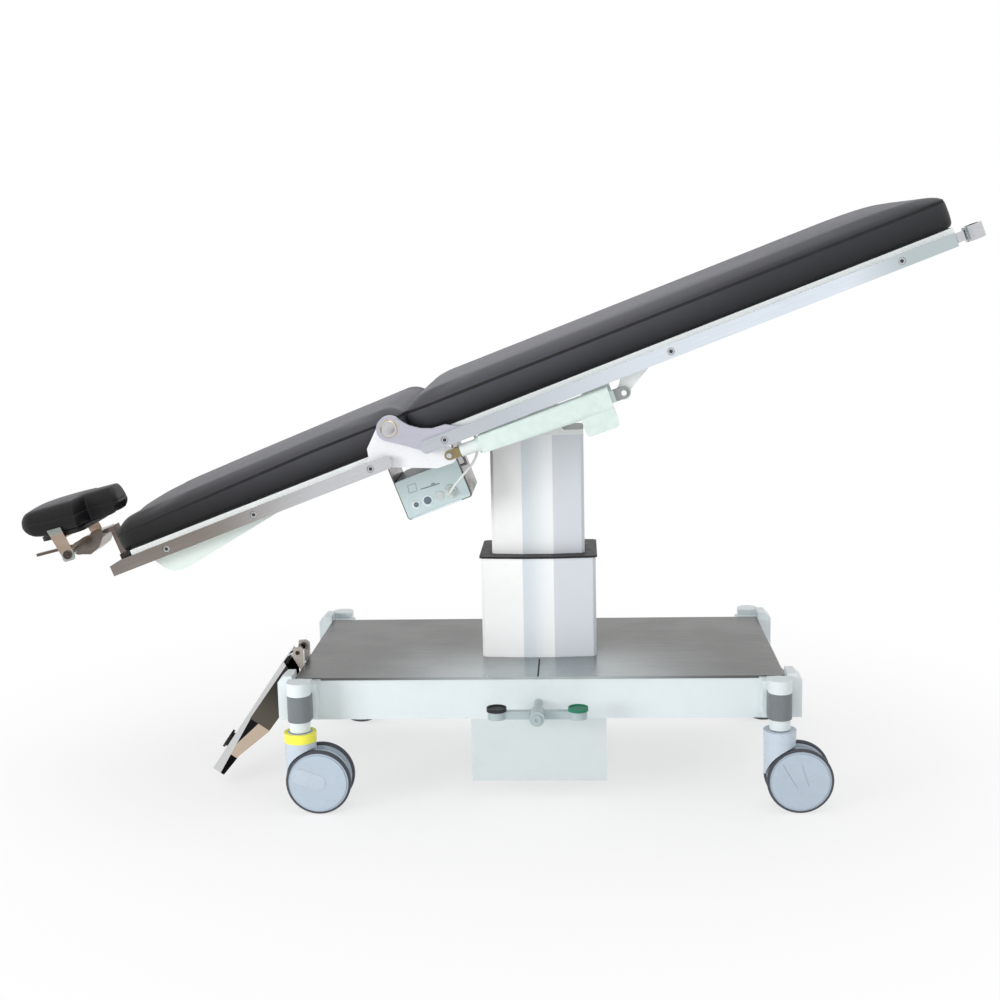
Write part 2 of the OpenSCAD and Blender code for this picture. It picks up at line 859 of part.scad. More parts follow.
module seat_frame() color(paint) on_table() {
    start = eye_r + seat_rail_start;
    gusset_t = 6;
    gusset_r = 14;
    gusset_reach = 70;
    tie_w = 6;
    difference() {
        union() {
            both_sides() {
                long_member(start, seat_frame_end);
                spacer(seat_screws_u[0], hinge_in);
                spacer(seat_screws_u[1], rail_in);
                spacer(seat_screws_u[2], rail_in);
                // Gusset with the pin of the actuator's rear eye
                plate_y(member_out - gusset_t, member_out)
                    translate([rear_pin_u, 0]) {
                        translate([0, -rear_pin_w])
                            circle(gusset_r, $fn = fine);
                        polygon([[gusset_r / 2, -frame_low + past], [gusset_reach, -frame_low + past],
                                 [gusset_r, -rear_pin_w], [0, -rear_pin_w - gusset_r],
                                 [-gusset_r, -rear_pin_w]]);
                    }
                translate([rear_pin_u, 0, -rear_pin_w])
                    bar_y(act_pin_r, member_out - past, act_y + eye_y + gusset_t);
                // Hangers that hold the tilt shaft
                plate_y(hanger_y, hanger_y + hanger_t) {
                    translate([tilt_u, -tilt_w])
                        circle(cheek_r, $fn = fine);
                    polygon([[tilt_u - tie_reach, -frame_low + past],
                             [tilt_u + tie_reach, -frame_low + past],
                             [tilt_u + cheek_r - 4, -tilt_w - 12],
                             [tilt_u - cheek_r + 4, -tilt_w - 12]]);
                }
                // Ties between the cross members that carry the hangers
                block([tilt_u - tie_reach, hanger_y - tie_w, -frame_low],
                      [tilt_u + tie_reach, hanger_y + hanger_t + tie_w, -deck_w]);
            }
            cross_member(start);
            cross_member(tilt_u - tie_reach);
            cross_member(tilt_u + tie_reach - member_w);
            cross_member(seat_cross_u);
            cross_member(seat_frame_end - member_w);
        }
        both_sides()
            screw_bores(seat_screws_u);
        translate([tilt_u, 0, -tilt_w])
            bar_y(tilt_shaft_r + run, -shaft_end - past, shaft_end + past);
    }
}

module tilt_shaft() color(steel) on_table() {
    translate([tilt_u, 0, -tilt_w])
        bar_y(tilt_shaft_r, -shaft_end, shaft_end);
}

// Side rail with round or square ends, bevelled on top at a square start
module rail(u0, u1, round_start, round_end) {
    r = rail_h / 2;
    bevel_l = 24;
    bevel_h = 4.5;
    plate_y(rail_in, rail_out)
        translate([0, -rail_w]) {
            a = round_start ? u0 + r : u0;
            b = round_end ? u1 - r : u1;
            polygon(concat([[a, -r], [b, -r], [b, r]],
                           round_start ? [[a, r]] : [[a + bevel_l, r], [a, r - bevel_h]]));
            if (round_start)
                translate([a, 0])
                    circle(r, $fn = fine);
            if (round_end)
                translate([b, 0])
                    circle(r, $fn = fine);
        }
}

// Counterbored holes that sink the screw heads under the rail's face
module screw_sinks(list) {
    for (u = list)
        translate([u, 0, -rail_w]) {
            bar_y(screw_head_r + run, rail_out - screw_head_t, rail_out + past);
            bar_y(screw_r + run, rail_in - past, rail_out);
        }
}

// Socket-head screws that hold the rails
module screws(list) {
    socket_r = 3;
    socket_t = 3;
    for (u = list)
        translate([u, 0, -rail_w])
            difference() {
                union() {
                    bar_y(screw_head_r, rail_out - screw_head_t, rail_out - near);
                    bar_y(screw_r, member_in, rail_out - screw_head_t + past);
                }
                bar_y(socket_r, rail_out - socket_t, rail_out);
            }
}

module seat_rails() color(steel) on_table() {
    both_sides()
        difference() {
            rail(seat_rail_start, seat_rail_end, true, false);
            screw_sinks(seat_screws_u);
        }
}

module seat_screws() color(steel) on_table() {
    both_sides()
        screws(seat_screws_u);
}

module back_rails() color(steel) on_table() {
    both_sides()
        difference() {
            rail(-back_rail_start, -back_rail_end, false, true);
            screw_sinks(back_screws_u);
        }
}

module back_screws() color(steel) on_table() {
    both_sides()
        screws(back_screws_u);
}

// Outer hinge plates of the seat section, screwed behind the rails
module hinge_plates() color(steel) on_table() {
    arm_end = seat_screws_u[0] + 36;
    both_sides()
        difference() {
            plate_y(hinge_in + near / 3, rail_in) {
                circle(eye_r, $fn = fine);
                // An arm that leaves the eye at its top and runs down to the rail's underside
                polygon([[-10, -22], [15, 18], [38, -8], [55, -20], [75, -28], [arm_end - 26, -30],
                         [arm_end, -rail_low + rail_h], [arm_end, -rail_low],
                         [60, -rail_low], [38, -rail_w - 1], [16, -40]]);
            }
            bar_y(hinge_pin_r + run, hinge_in - past, rail_in + past);
            screw_bores([seat_screws_u[0]]);
        }
}

// Hinge pins with a round cap and a brass washer outside the hinge plates
module hinge_pins() color(steel) on_table() {
    washer_rim = 1.5;
    both_sides() {
        bar_y(hinge_pin_r, lever_in - near, rail_in + past);
        bar_y(cap_r + washer_rim, rail_in, rail_in + washer_t);
        bar_y(cap_r, rail_in + washer_t, rail_in + washer_t + cap_t);
    }
}

// Lever plates of the back section, from the hinge down to the actuator's rod
module lever_plates() color(paint) on_table() {
    rod_end_r = 16;
    arm_end = back_screws_u[0] - 51;
    both_sides()
        difference() {
            union() {
                plate_y(lever_in, lever_out) {
                    circle(eye_r, $fn = fine);
                    translate([rod_pin_u - 2, -rod_pin_w])
                        circle(rod_end_r, $fn = fine);
                    // From the eye back along the rail, along its underside, and down to the rod
                    polygon([[-18, 14], [-54, -20], [-58, -38],
                             [arm_end, 11 - rail_w], [arm_end, 2 - rail_low],
                             [-25, -rail_low], [29, -91], [55, -102],
                             [rod_pin_u - 6, 0.5 - rod_pin_w - rod_end_r],
                             [rod_pin_u + 8, rod_end_r - rod_pin_w - 3],
                             [58, -62], [34, -40], [23, 0]]);
                }
                // Pads that seat the plate on the frame and the rail on the plate
                translate([back_screws_u[0], 0, -rail_w]) {
                    bar_y(spacer_r, member_out, lever_in + past);
                    bar_y(spacer_r, lever_out - past, rail_in);
                }
            }
            bar_y(hinge_pin_r + run, lever_in - past, lever_out + past);
            screw_bores([back_screws_u[0]]);
        }
}

module back_frame() color(paint) on_table() {
    start = 34;
    guide_y = arm_bar_y + 12;
    guide_l = 120;
    slide_room = 60;
    cheek_t = 4;
    difference() {
        union() {
            both_sides() {
                long_member(-back_frame_end, -start);
                spacer(back_screws_u[1], rail_in);
                spacer(back_screws_u[2], rail_in);
                // Cheek under the frame, deepest at the head end
                plate_y(member_out - cheek_t, member_out)
                    polygon([[-523, -frame_low + past], [-506, -92], [-492, -103], [-473, -107],
                             [-450, -104], [-225, -frame_low + past]]);
            }
            cross_member(-start - member_w);
            cross_member(-back_cross_u);
            cross_member(-back_frame_end);
            // Guide of the head arm, from the end member inwards
            block([-back_frame_end, -guide_y, -frame_low], [-back_frame_end + guide_l, guide_y, -deck_w]);
        }
        both_sides()
            screw_bores(back_screws_u);
        block([-back_frame_end - past, -arm_bar_y - near, -slide_w - arm_bar_t / 2 - near],
              [-back_frame_end + slide_l + slide_room, arm_bar_y + near, -slide_w + arm_bar_t / 2 + near]);
    }
}

// Closed body that lofts a pad from loops of points. The end loops are fanned shut.
module loft(rings) {
    n = len(rings[0]);
    m = len(rings);
    points = [for (ring = rings) each ring];
    sides = [
        for (i = [0 : m - 2], j = [0 : n - 1])
            let (a = i * n + j, b = i * n + (j + 1) % n)
                each [[a, b, a + n], [b, b + n, a + n]]
    ];
    first = [for (j = [1 : n - 2]) [0, j + 1, j]];
    last = [for (j = [1 : n - 2]) [(m - 1) * n, (m - 1) * n + j, (m - 1) * n + j + 1]];
    polyhedron(points, concat(sides, first, last), convexity = 4);
}

// Share of a rounded end that is left at distance d from it, over a length a
function ease(d, a, power) = d >= a ? 1 : pow(1 - pow(1 - max(d, 0) / a, power), 1 / power);

// Outline of a pad's section at a place along it, from the outer seam round the top
function pad_loop(u, half, low, seam, high, crown) = [
    for (k = [0 : 31])
        let (t = k * 360 / 32,
             c = cos(t),
             s = sin(t),
             y = half * sign(c) * pow(abs(c), s > 0 ? 0.34 : 0.2),
             top = seam + (high - seam) * pow(abs(s), 0.62) + crown * (1 - pow(y / half, 2)),
             bottom = seam - (seam - low) * pow(abs(s), 0.34))
            [u, s < 0 ? y * (1 - pad_draw / half * pow(abs(s), 2)) : y, s >= 0 ? top : bottom]
];

// Stations along a pad, close together where its ends turn down
function stations(a, b, reach0, reach1) = concat(
    [for (k = [0 : 6]) a + reach0 * (1 - cos(k * 15))],
    [for (k = [1 : 8]) a + reach0 + (b - a - reach0 - reach1) * k / 9],
    [for (k = [0 : 6]) b - reach1 * (1 - cos(90 - k * 15))]
);

pad_low = -deck_w + near;
seat_pad_start = pad_end_r + pad_gap;

// Top of the seat pad without its crown
seat_top = pad_low + seat_pad_h - pad_crown;

// Lengths over which the seat pad's top rounds down at the hinge and at the foot
nose_ease = 75;
foot_ease = 180;

function seat_ring(u) = let (
    d0 = u - seat_pad_start,
    d1 = seat_pad_end - u,
    seam = -8 + 20 * (u - seat_pad_start) / 1000,
    e0 = ease(d0 + 0.6, nose_ease, 2),
    e1 = ease(d1 + 0.6, foot_ease, 2.4),
    f0 = ease(d0 + 0.6, 22, 2),
    f1 = ease(d1 + 0.6, 14, 2),
    high = seam + (seat_top - seam) * min(e0, e1),
    low = seam - (seam - pad_low) * min(f0, f1),
    half = pad_half_w - 26 * (1 - min(ease(d0 + 1, 40, 2), ease(d1 + 1, 55, 2)))
) pad_loop(u, half, low, seam, high, pad_crown * min(e0, e1));

module seat_pad() color(charcoal) on_table() {
    loft([for (u = stations(seat_pad_start, seat_pad_end, nose_ease, foot_ease)) seat_ring(u)]);
}

// Top of the back pad without its crown, rising from the head end
function back_top(d) = pad_low - pad_crown + back_pad_h0
    + (back_pad_h1 - back_pad_h0) * pow(min(1, max(0, d / back_pad_end)), 0.62);

function back_ring(u) = let (
    d0 = u + back_pad_end,
    d1 = pad_end_r - u,
    seam = -8 - 6 * (1 - min(1, d0 / 300)),
    e0 = ease(d0 + 0.6, 34, 2),
    e1 = ease(d1 + 0.6, 40, 2),
    f0 = ease(d0 + 0.6, 18, 2),
    f1 = ease(d1 + 0.6, 26, 2),
    high = seam + (back_top(d0) - seam) * min(e0, e1),
    low = seam - (seam - pad_low) * min(f0, f1),
    half = pad_half_w - 26 * (1 - min(ease(d0 + 1, 55, 2), ease(d1 + 1, 40, 2)))
) pad_loop(u, half, low, seam, high, pad_crown * min(e0, e1));

module back_pad() color(charcoal) on_table() {
    loft([for (u = stations(-back_pad_end, pad_end_r, 50, 44)) back_ring(u)]);
}

// Sockets of the control box, from the head end
socket_radii = [6, 8.5, 9, 10];
socket_step = 24;
socket_w = -box_w - box_h + 22;
function socket_u(k) = box_u - box_l / 2 + (k + 1) * socket_step;

// Painted control box with four round sockets on its near face
module control_box() color("#b9cdcb") on_table() {
    difference() {
        translate([box_u, -box_y, -box_w - box_h / 2])
            plate_y(0, box_d)
                round_rect(box_l, box_h, box_r);
        for (k = [0 : 3])
            translate([socket_u(k), 0, socket_w])
                bar_y(socket_radii[k], -box_y - past, -box_y + socket_depth);
    }
}

// Folded steel cradle of the control box, with a wire bail at its front
module box_cradle() color(steel) on_table() {
    inset = 6;
    fold_r = box_r + cradle_t;
    bail_r = 2.5;
    bail_out = 11;
    bail_w = [96, 126];
    half = box_l / 2 + near + cradle_t;
    drop = box_w + box_h + near + cradle_t - frame_low;
    front = -box_y + inset;
    translate([box_u, 0, 0]) {
        plate_y(front, -box_y + box_d - inset)
            difference() {
                translate([0, -frame_low - drop / 2])
                    round_rect(2 * half, drop, fold_r);
                translate([0, -frame_low - drop / 2 + cradle_t])
                    round_rect(2 * half - 2 * cradle_t, drop, fold_r - cradle_t);
            }
        // Wire bail on the side away from the head
        for (w = bail_w)
            translate([half - past, front + inset, -w])
                rotate([0, 90, 0])
                    cylinder(r = bail_r, h = bail_out + past, $fn = small);
        translate([half + bail_out, front + inset, -bail_w[1] - bail_r])
            cylinder(r = bail_r, h = bail_w[1] - bail_w[0] + 2 * bail_r, $fn = small);
    }
}

// Round plug in the last socket of the control box
module motor_plug() color("#c9d2cf") on_table() {
    nose = 14;
    flange = [3, 10];
    translate([socket_u(3), 0, socket_w]) {
        bar_y(socket_radii[3] - run, -box_y - nose, -box_y + socket_depth - near);
        bar_y(socket_radii[3] + flange[0], -box_y - flange[1], -box_y - near);
    }
}

// Route of the motor's cable from its plug to the frame's long member
cable_route = [
    [46, -164, -165], [46, -168, -165], [47, -173, -164], [50, -178, -162], [55, -182, -158],
    [62, -186, -153], [70, -190, -148], [79, -194, -143], [88, -198, -138], [97, -202, -133],
    [106, -206, -128], [115, -210, -122], [123, -215, -115], [130, -220, -107],
    [135, -224, -98], [138, -227, -88], [139, -228, -77], [139, -228, -66]
];
cable_r = 2.4;

function unit(v) = v / norm(v);

// Rings of eight points round each point of the route
function cable_ring(k) = let (
    last = len(cable_route) - 1,
    way = unit(cable_route[min(k + 1, last)] - cable_route[max(k - 1, 0)]),
    side = unit(cross(way, [1, 0.2, 0.1])),
    up = cross(side, way)
) [for (j = [0 : 7]) cable_route[k] + cable_r * (cos(j * 45) * side + sin(j * 45) * up)];

module motor_cable() color("#dfe3e0") on_table() {
    loft([for (k = [0 : len(cable_route) - 1]) cable_ring(k)]);
}

// Steel sockets for side poles at the foot end, held by a plate behind the rail
module pole_sockets() color(steel) on_table() {
    outer = pole_bore_r + pole_wall;
    pole_gap = 20;
    strap = [5, 9];
    centre_u = seat_rail_end + outer + pole_gap;
    both_sides()
        difference() {
            union() {
                translate([centre_u, member_out, -rail_w - pole_l / 2])
                    cylinder(r = outer, h = pole_l, $fn = fine);
                block([seat_frame_end, member_out - strap[0], -rail_w - strap[1]],
                      [centre_u, member_out + strap[0], -rail_w + strap[1]]);
            }
            translate([centre_u, member_out, -rail_w - pole_l / 2 - past])
                cylinder(r = pole_bore_r, h = pole_l + 2 * past, $fn = fine);
        }
}

// Moulded body of a back actuator with its motor and rear eye, bored for the ram
module actuator() {
    eye = 11;
    rear = 26;
    rear_drop = 1.5;
    body_r = 10;
    flange_l = 6;
    motor_r = 8;
    motor_inset = 3;
    bore_stop = 28;
    y0 = act_y - body_w / 2;
    y1 = act_y + body_w / 2;
    difference() {
        union() {
            intersection() {
                plate_y(y0, y1)
                    polygon([[-body_l, -body_front_h / 2], [-rear, -body_rear_h / 2],
                             [-rear, body_rear_h / 2 - rear_drop], [-body_l, body_front_h / 2]]);
                translate([-body_l - past, act_y, 0])
                    rotate([90, 0, 90])
                        linear_extrude(body_l)
                            round_rect(body_w, body_rear_h, body_r);
            }
            // Flange round the mouth
            translate([-body_l - flange_l, act_y, 0])
                rotate([0, 90, 0])
                    cylinder(r = body_front_h / 2, h = flange_l + past, $fn = fine);
            // Motor below the rear of the body
            plate_y(y0 + motor_inset, y1 - motor_inset)
                translate([-rear - motor_l / 2, -motor_drop / 2 - motor_r / 2])
                    round_rect(motor_l, motor_drop - motor_r, motor_r);
            // Rear eye
            plate_y(act_y - eye_y, act_y + eye_y) {
                circle(eye, $fn = fine);
                translate([-rear - past, -eye])
                    square([rear + past, 2 * eye]);
            }
        }
        bar_y(act_pin_r + run, act_y - body_w, act_y + body_w);
        translate([-body_l - flange_l - past, act_y, 0])
            rotate([0, 90, 0])
                cylinder(r = ram_r + run, h = body_l - bore_stop, $fn = fine);
    }
}

// Ram with a brass fork whose ears straddle the lever plate
module ram() {
    ear_t = 4;
    ear_r = 9;
    ear_root = 6;
    ear_in = lever_t / 2 + near;
    dimple = 1;
    front = -act_len;
    translate([0, act_y, 0])
        difference() {
            union() {
                translate([front + fork_l, 0, 0])
                    rotate([0, 90, 0])
                        cylinder(r = ram_r, h = ram_l - fork_l, $fn = fine);
                for (side = [-1, 1])
                    translate([0, side * (ear_in + ear_t / 2), 0])
                        plate_y(-ear_t / 2, ear_t / 2) {
                            translate([front, 0])
                                circle(ear_r, $fn = small);
                            translate([front, -ear_r])
                                square([fork_l + ear_root, 2 * ear_r]);
                        }
            }
            both_sides()
                translate([front, 0, 0])
                    bar_y(act_pin_r - 1, ear_in + ear_t - dimple, ear_in + ear_t + past);
        }
}

module actuator_near() color(mint) on_actuator() mirror([0, 1, 0]) actuator();
module ram_near() color(brass) on_actuator() mirror([0, 1, 0]) ram();
module actuator_far() color(mint) on_actuator() actuator();
module ram_far() color(brass) on_actuator() ram();

// Flat steel arm: its slide, its upright and the clamp block at the pivot
module head_arm() color(steel) on_table() {
    upright = head_u - 76;
    half = arm_bar_t / 2;
    arm_top = 6;
    block_y = clamp_y;
    difference() {
        union() {
            block([-upright, -arm_bar_y, -slide_w - half], [-upright + slide_l, arm_bar_y, -slide_w + half]);
            block([-upright - half, -arm_bar_y, -slide_w - half], [-upright + half, arm_bar_y, arm_top]);
            block([-head_u + 20, -arm_bar_y, arm_top - arm_bar_t], [-upright + half, arm_bar_y, arm_top]);
            // Clamp block with a round underside
            translate([-head_u, 0, -head_w])
                plate_y(-block_y, block_y) {
                    translate([2, 0])
                        circle(14, $fn = fine);
                    polygon([[-8, 11], [2, -14], [20, -21], [42, -14], [58, 3], [62, head_w + arm_top],
                             [20, head_w + arm_top + 2]]);
                }
        }
        translate([-head_u, 0, -head_w]) {
            bar_y(head_pin_r + run, -block_y - past, block_y + past);
            // Slot for the release lever
            block([-slot_r - head_pin_r, -release_y - near, -slot_r - head_pin_r],
                  [slot_r, release_y + near, slot_r + head_pin_r]);
        }
    }
}

// Room round the release lever's eye
release_eye_r = 9;
slot_r = release_eye_r + 4;

// Flat release lever that turns on the headrest's pin
module head_lever() color("#5b4f49") on_head() {
    bar_low = 1;
    bar_end = 3;
    bar_h = 6;
    difference() {
        plate_y(-release_y, release_y) {
            circle(release_eye_r, $fn = fine);
            polygon([[-release_l, bar_end], [0, bar_low], [0, bar_low + bar_h],
                     [-release_l, bar_end + bar_h]]);
        }
        bar_y(head_pin_r + run, -release_y - past, release_y + past);
    }
}

// Bent bracket with its pin, from the pivot up to the plate under the head pad
module head_bracket() color(steel) on_head() {
    tab_r = 6;
    nut_r = 8;
    nut_t = 3;
    // The legs lean towards the head and reach a little up the pad's side
    lean = 11.5;
    leg_flare = 3;
    leg_q = head_pad_q + 12;
    cross_p = -lean * head_plate_q / leg_q;
    bar_y(head_pin_r, -strap_y - strap_t, strap_y + strap_t);
    both_sides() {
        plate_y(strap_y, strap_y + strap_t) {
            round_rect(strap_w, strap_w, tab_r);
            polygon([[-strap_w / 2, 0], [strap_w / 2, 0],
                     [-lean + (strap_w + leg_flare) / 2, leg_q],
                     [-lean - (strap_w + leg_flare) / 2, leg_q]]);
        }
        bar_y(nut_r, strap_y + strap_t - past, strap_y + strap_t + nut_t);
    }
    block([cross_p - strap_w / 2, -strap_y - strap_t, head_plate_q - strap_t],
          [cross_p + strap_w / 2, strap_y + strap_t, head_plate_q]);
}

module head_plate() color(charcoal) on_head() {
    plate_l = 90;
    plate_p = -5;
    plate_in = 6;
    corner_r = 20;
    translate([plate_p, 0, head_plate_q])
        linear_extrude(head_plate_t - near)
            round_rect(plate_l, 2 * (head_half_w - plate_in), corner_r);
}

// Where the head pad starts and ends its narrowing
shoulder_p = 50;
neck_p = 62;
head_pad_end = head_pad_l - head_pad_back;
// Lengths over which the head pad rounds off
crown_ease = 30;
under_ease = 57;
neck_ease = 24;

// Half width of the head pad: wide behind the head, narrow at the neck
function head_half(p) = let (x = (p - shoulder_p) / (neck_p - shoulder_p))
    neck_half_w + (head_half_w - neck_half_w)
    * (x < 0 ? 1 : x > 1 ? 0 : 0.5 + 0.5 * cos(180 * x));

function head_ring(p) = let (
    d0 = p + head_pad_back,
    d1 = head_pad_end - p,
    seam = head_pad_q + head_pad_h * (0.45 + 0.4 * (1 - min(1, d0 / 60))),
    e0 = ease(d0 + 0.6, crown_ease, 2),
    e1 = ease(d1 + 0.6, neck_ease, 2),
    f0 = ease(d0 + 0.6, under_ease, 2),
    f1 = ease(d1 + 0.6, neck_ease, 2),
    high = seam + (head_pad_q + head_pad_h - 4 - seam) * min(e0, e1),
    low = seam - (seam - head_pad_q) * min(f0, f1),
    half = head_half(p) - 30 * (1 - ease(d0 + 1, 40, 2)) - 14 * (1 - ease(d1 + 1, 14, 2))
) pad_loop(p, half, low, seam, high, 4 * min(e0, e1));

module head_pad() color(charcoal) on_head() {
    turn = 9;
    lanes = concat(
        stations(-head_pad_back, shoulder_p, under_ease, 4),
        [for (k = [1 : turn]) shoulder_p + (neck_p - shoulder_p) * k / turn],
        [for (k = [0 : 6]) head_pad_end - neck_ease * (1 - cos(90 - k * 15))]
    );
    loft([for (p = lanes) head_ring(p)]);
}

// Folded stainless tray of the foot control
module foot_tray() color(steel) on_base() translate([0, -tray_mid, 0]) {
    face = -tray_face;
    back = face + tray_t;
    face_s = 22;
    arm_s = 38;
    lip = 26;
    lip_rise = 5;
    lip_s = 0.82 * tray_l;
    rest_x = -(end_x + 2);
    rest_gap = 4;
    knuckle_r = 7;
    knuckle_t = 11;
    knuckle_out = lug_out - lug_t - past;
    difference() {
        union() {
            // Face plate
            plate_y(-tray_half_w, tray_half_w)
                polygon([tray_point(face_s, face), tray_point(tray_l, face),
                         tray_point(tray_l, back), tray_point(face_s, back)]);
            // Side cheeks
            both_sides()
                plate_y(tray_half_w - tray_t, tray_half_w)
                    polygon([tray_point(face_s, face), tray_point(tray_l, face),
                             tray_point(tray_l, face + lip),
                             tray_point(lip_s, face + lip + lip_rise),
                             tray_point(0.56 * tray_l, face + tray_depth),
                             tray_point(0.4 * tray_l, face + tray_depth + 2),
                             [rest_x, end_beam_low + rest_gap],
                             [rest_x, end_beam_top - end_bevel - rest_gap]]);
            // Folded strip along the lower edge, and the return above it
            plate_y(-tray_half_w, tray_half_w) {
                polygon([tray_point(tray_l - tray_t, face), tray_point(tray_l, face),
                         tray_point(tray_l, face + lip), tray_point(tray_l - tray_t, face + lip)]);
                polygon([tray_point(lip_s, face + lip + lip_rise - tray_t),
                         tray_point(tray_l, face + lip - tray_t),
                         tray_point(tray_l, face + lip), tray_point(lip_s, face + lip + lip_rise)]);
            }
            // Knuckles and pin
            translate([tray_pivot_x, 0, tray_pivot_z])
                bar_y(tray_pin_r, -lug_out - 2 * past, lug_out + 2 * past);
            both_sides()
                plate_y(knuckle_out - knuckle_t, knuckle_out) {
                    translate([tray_pivot_x, tray_pivot_z])
                        circle(knuckle_r, $fn = small);
                    polygon([tray_point(face_s + past, face + past), tray_point(arm_s, face + past),
                             tray_point(knuckle_r, 0), tray_point(-knuckle_r, 0)]);
                }
        }
        at_button()
            translate([0, 0, -tray_t - past])
                cylinder(r = button_r - button_rim, h = tray_t + 2 * past, $fn = fine);
    }
}

// Width of the button's rim round its stem
button_rim = 4;

// Button coordinates: the origin on the tray's outer face, z outwards
module at_button() {
    translate([tray_pivot_x, 0, tray_pivot_z])
        rotate([0, tray_angle, 0])
            translate([-tray_face, 0, -button_s])
                rotate([0, -90, 0])
                    children();
}

// Rubber foot button whose stem passes through the tray
module foot_button() color("#1d1f21") on_base() translate([0, -tray_mid, 0]) {
    travel = 4;
    stem_in = 8;
    at_button() {
        translate([0, 0, travel + near])
            cylinder(r = button_r, h = button_h - travel - near, $fn = fine);
        translate([0, 0, -stem_in])
            cylinder(r = button_r - button_rim - near, h = stem_in + travel + 2 * near, $fn = fine);
    }
}

// Swivel housing of a caster with the web between its wheels
module caster() {
    reach = (wheel_spacing + wheel_w) / 2 + wheel_clear;
    low = wheel_r + 8;
    drop = 20;
    edge = 3;
    difference() {
        union() {
            translate([0, 0, low])
                cylinder(r = housing_r, h = ring_low - low, $fn = fine);
            translate([0, 0, ring_low - past])
                cylinder(r = neck_r, h = neck_top - ring_low + past, $fn = fine);
            // Web round the axle and forward of the swivel axis
            plate_y(-web_t / 2, web_t / 2) {
                translate([trail, wheel_r])
                    circle(hub_r - edge, $fn = fine);
                polygon([[edge - housing_r, low + edge], [edge - housing_r, ring_low - drop],
                         [trail, ring_low - drop], [trail, wheel_r], [0, wheel_r - drop]]);
            }
        }
        // Room for the two wheels
        both_sides()
            translate([trail, 0, wheel_r])
                bar_y(wheel_r + wheel_clear, web_t / 2, reach);
        translate([trail, 0, wheel_r])
            bar_y(axle_r + run, -web_t, web_t);
        translate([0, 0, stem_low_z - past])
            cylinder(r = stem_r + run, h = boss_low, $fn = fine);
    }
}

// The two wheel cores of a caster on their axle
module wheels() {
    face_in = 2;
    disc_rim = 4;
    translate([trail, 0, wheel_r]) {
        bar_y(axle_r, -wheel_spacing / 2, wheel_spacing / 2);
        both_sides() {
            bar_y(hub_r, (wheel_spacing - wheel_w) / 2 + tyre_edge, (wheel_spacing + wheel_w) / 2 - face_in);
            bar_y(hub_r - disc_rim, wheel_spacing / 2, (wheel_spacing + wheel_w) / 2);
        }
    }
}

// Distance of a tyre's side face inside the wheel's face, and its width
tyre_edge = 0.5;
tyre_w = 12;

// The two tyres of a caster
module tyres() {
    edge = 3;
    side = (wheel_spacing + wheel_w) / 2 - tyre_edge;
    translate([trail, 0, wheel_r])
        both_sides()
            translate([0, side, 0])
                rotate([90, 0, 0])
                    rotate_extrude($fn = fine)
                        polygon([[hub_r + run, 0], [wheel_r - edge, 0], [wheel_r, edge],
                                 [wheel_r, tyre_w - edge], [wheel_r - edge, tyre_w],
                                 [hub_r + run, tyre_w]]);
}

module at_stem(x, y) {
    on_base()
        translate([x * stem_x, y * stem_y, 0])
            children();
}

// One caster has a yellow ring of its own
module ring() {
    translate([0, 0, ring_low + near])
        difference() {
            cylinder(r = ring_r, h = neck_top - ring_low, $fn = fine);
            translate([0, 0, -past])
                cylinder(r = neck_r + run, h = boss_low, $fn = fine);
        }
}

module grey_ring() {
    difference() {
        translate([0, 0, ring_low - past])
            cylinder(r = ring_r, h = neck_top - ring_low + past, $fn = fine);
        translate([0, 0, ring_low - 2 * past])
            cylinder(r = neck_r - past, h = boss_low, $fn = fine);
    }
}

module caster_head_near() color(pale_blue) at_stem(-1, -1) caster();
module wheels_head_near() color(pale_blue) at_stem(-1, -1) wheels();
module tyres_head_near() color("#464b55") at_stem(-1, -1) tyres();
module caster_ring() color("#f5f032") at_stem(-1, -1) ring();
module caster_head_far() color(pale_blue) at_stem(-1, 1) { caster(); grey_ring(); }
module wheels_head_far() color(pale_blue) at_stem(-1, 1) wheels();
module tyres_head_far() color("#464b55") at_stem(-1, 1) tyres();
module caster_foot_near() color(pale_blue) at_stem(1, -1) { caster(); grey_ring(); }
module wheels_foot_near() color(pale_blue) at_stem(1, -1) wheels();
module tyres_foot_near() color("#464b55") at_stem(1, -1) tyres();
module caster_foot_far() color(pale_blue) at_stem(1, 1) { caster(); grey_ring(); }
module wheels_foot_far() color(pale_blue) at_stem(1, 1) wheels();
module tyres_foot_far() color("#464b55") at_stem(1, 1) tyres();

base_frame();
cover_head();
cover_foot();
arm_sleeves();
caster_stems();
lower_housing();
power_pack();
column_outer();
column_collar();
lift_actuator();
lock_bar_near();
lock_pads_near();
lock_bar_far();
lock_pads_far();
column_inner();
lift_ram();
column_head();
tilt_drive();
seat_frame();
seat_pad();
seat_rails();
seat_screws();
hinge_plates();
hinge_pins();
tilt_shaft();
control_box();
box_cradle();
motor_plug();
motor_cable();
pole_sockets();
back_frame();
back_pad();
back_rails();
back_screws();
lever_plates();
actuator_near();
ram_near();
actuator_far();
ram_far();
head_arm();
head_lever();
head_bracket();
head_plate();
head_pad();
foot_tray();
foot_button();
caster_head_near();
wheels_head_near();
tyres_head_near();
caster_ring();
caster_head_far();
wheels_head_far();
tyres_head_far();
caster_foot_near();
wheels_foot_near();
tyres_foot_near();
caster_foot_far();
wheels_foot_far();
tyres_foot_far();
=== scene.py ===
# Operating table for ear, nose and throat surgery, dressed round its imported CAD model.
import json
import math

import bmesh
import bpy
from mathutils import Matrix, Vector


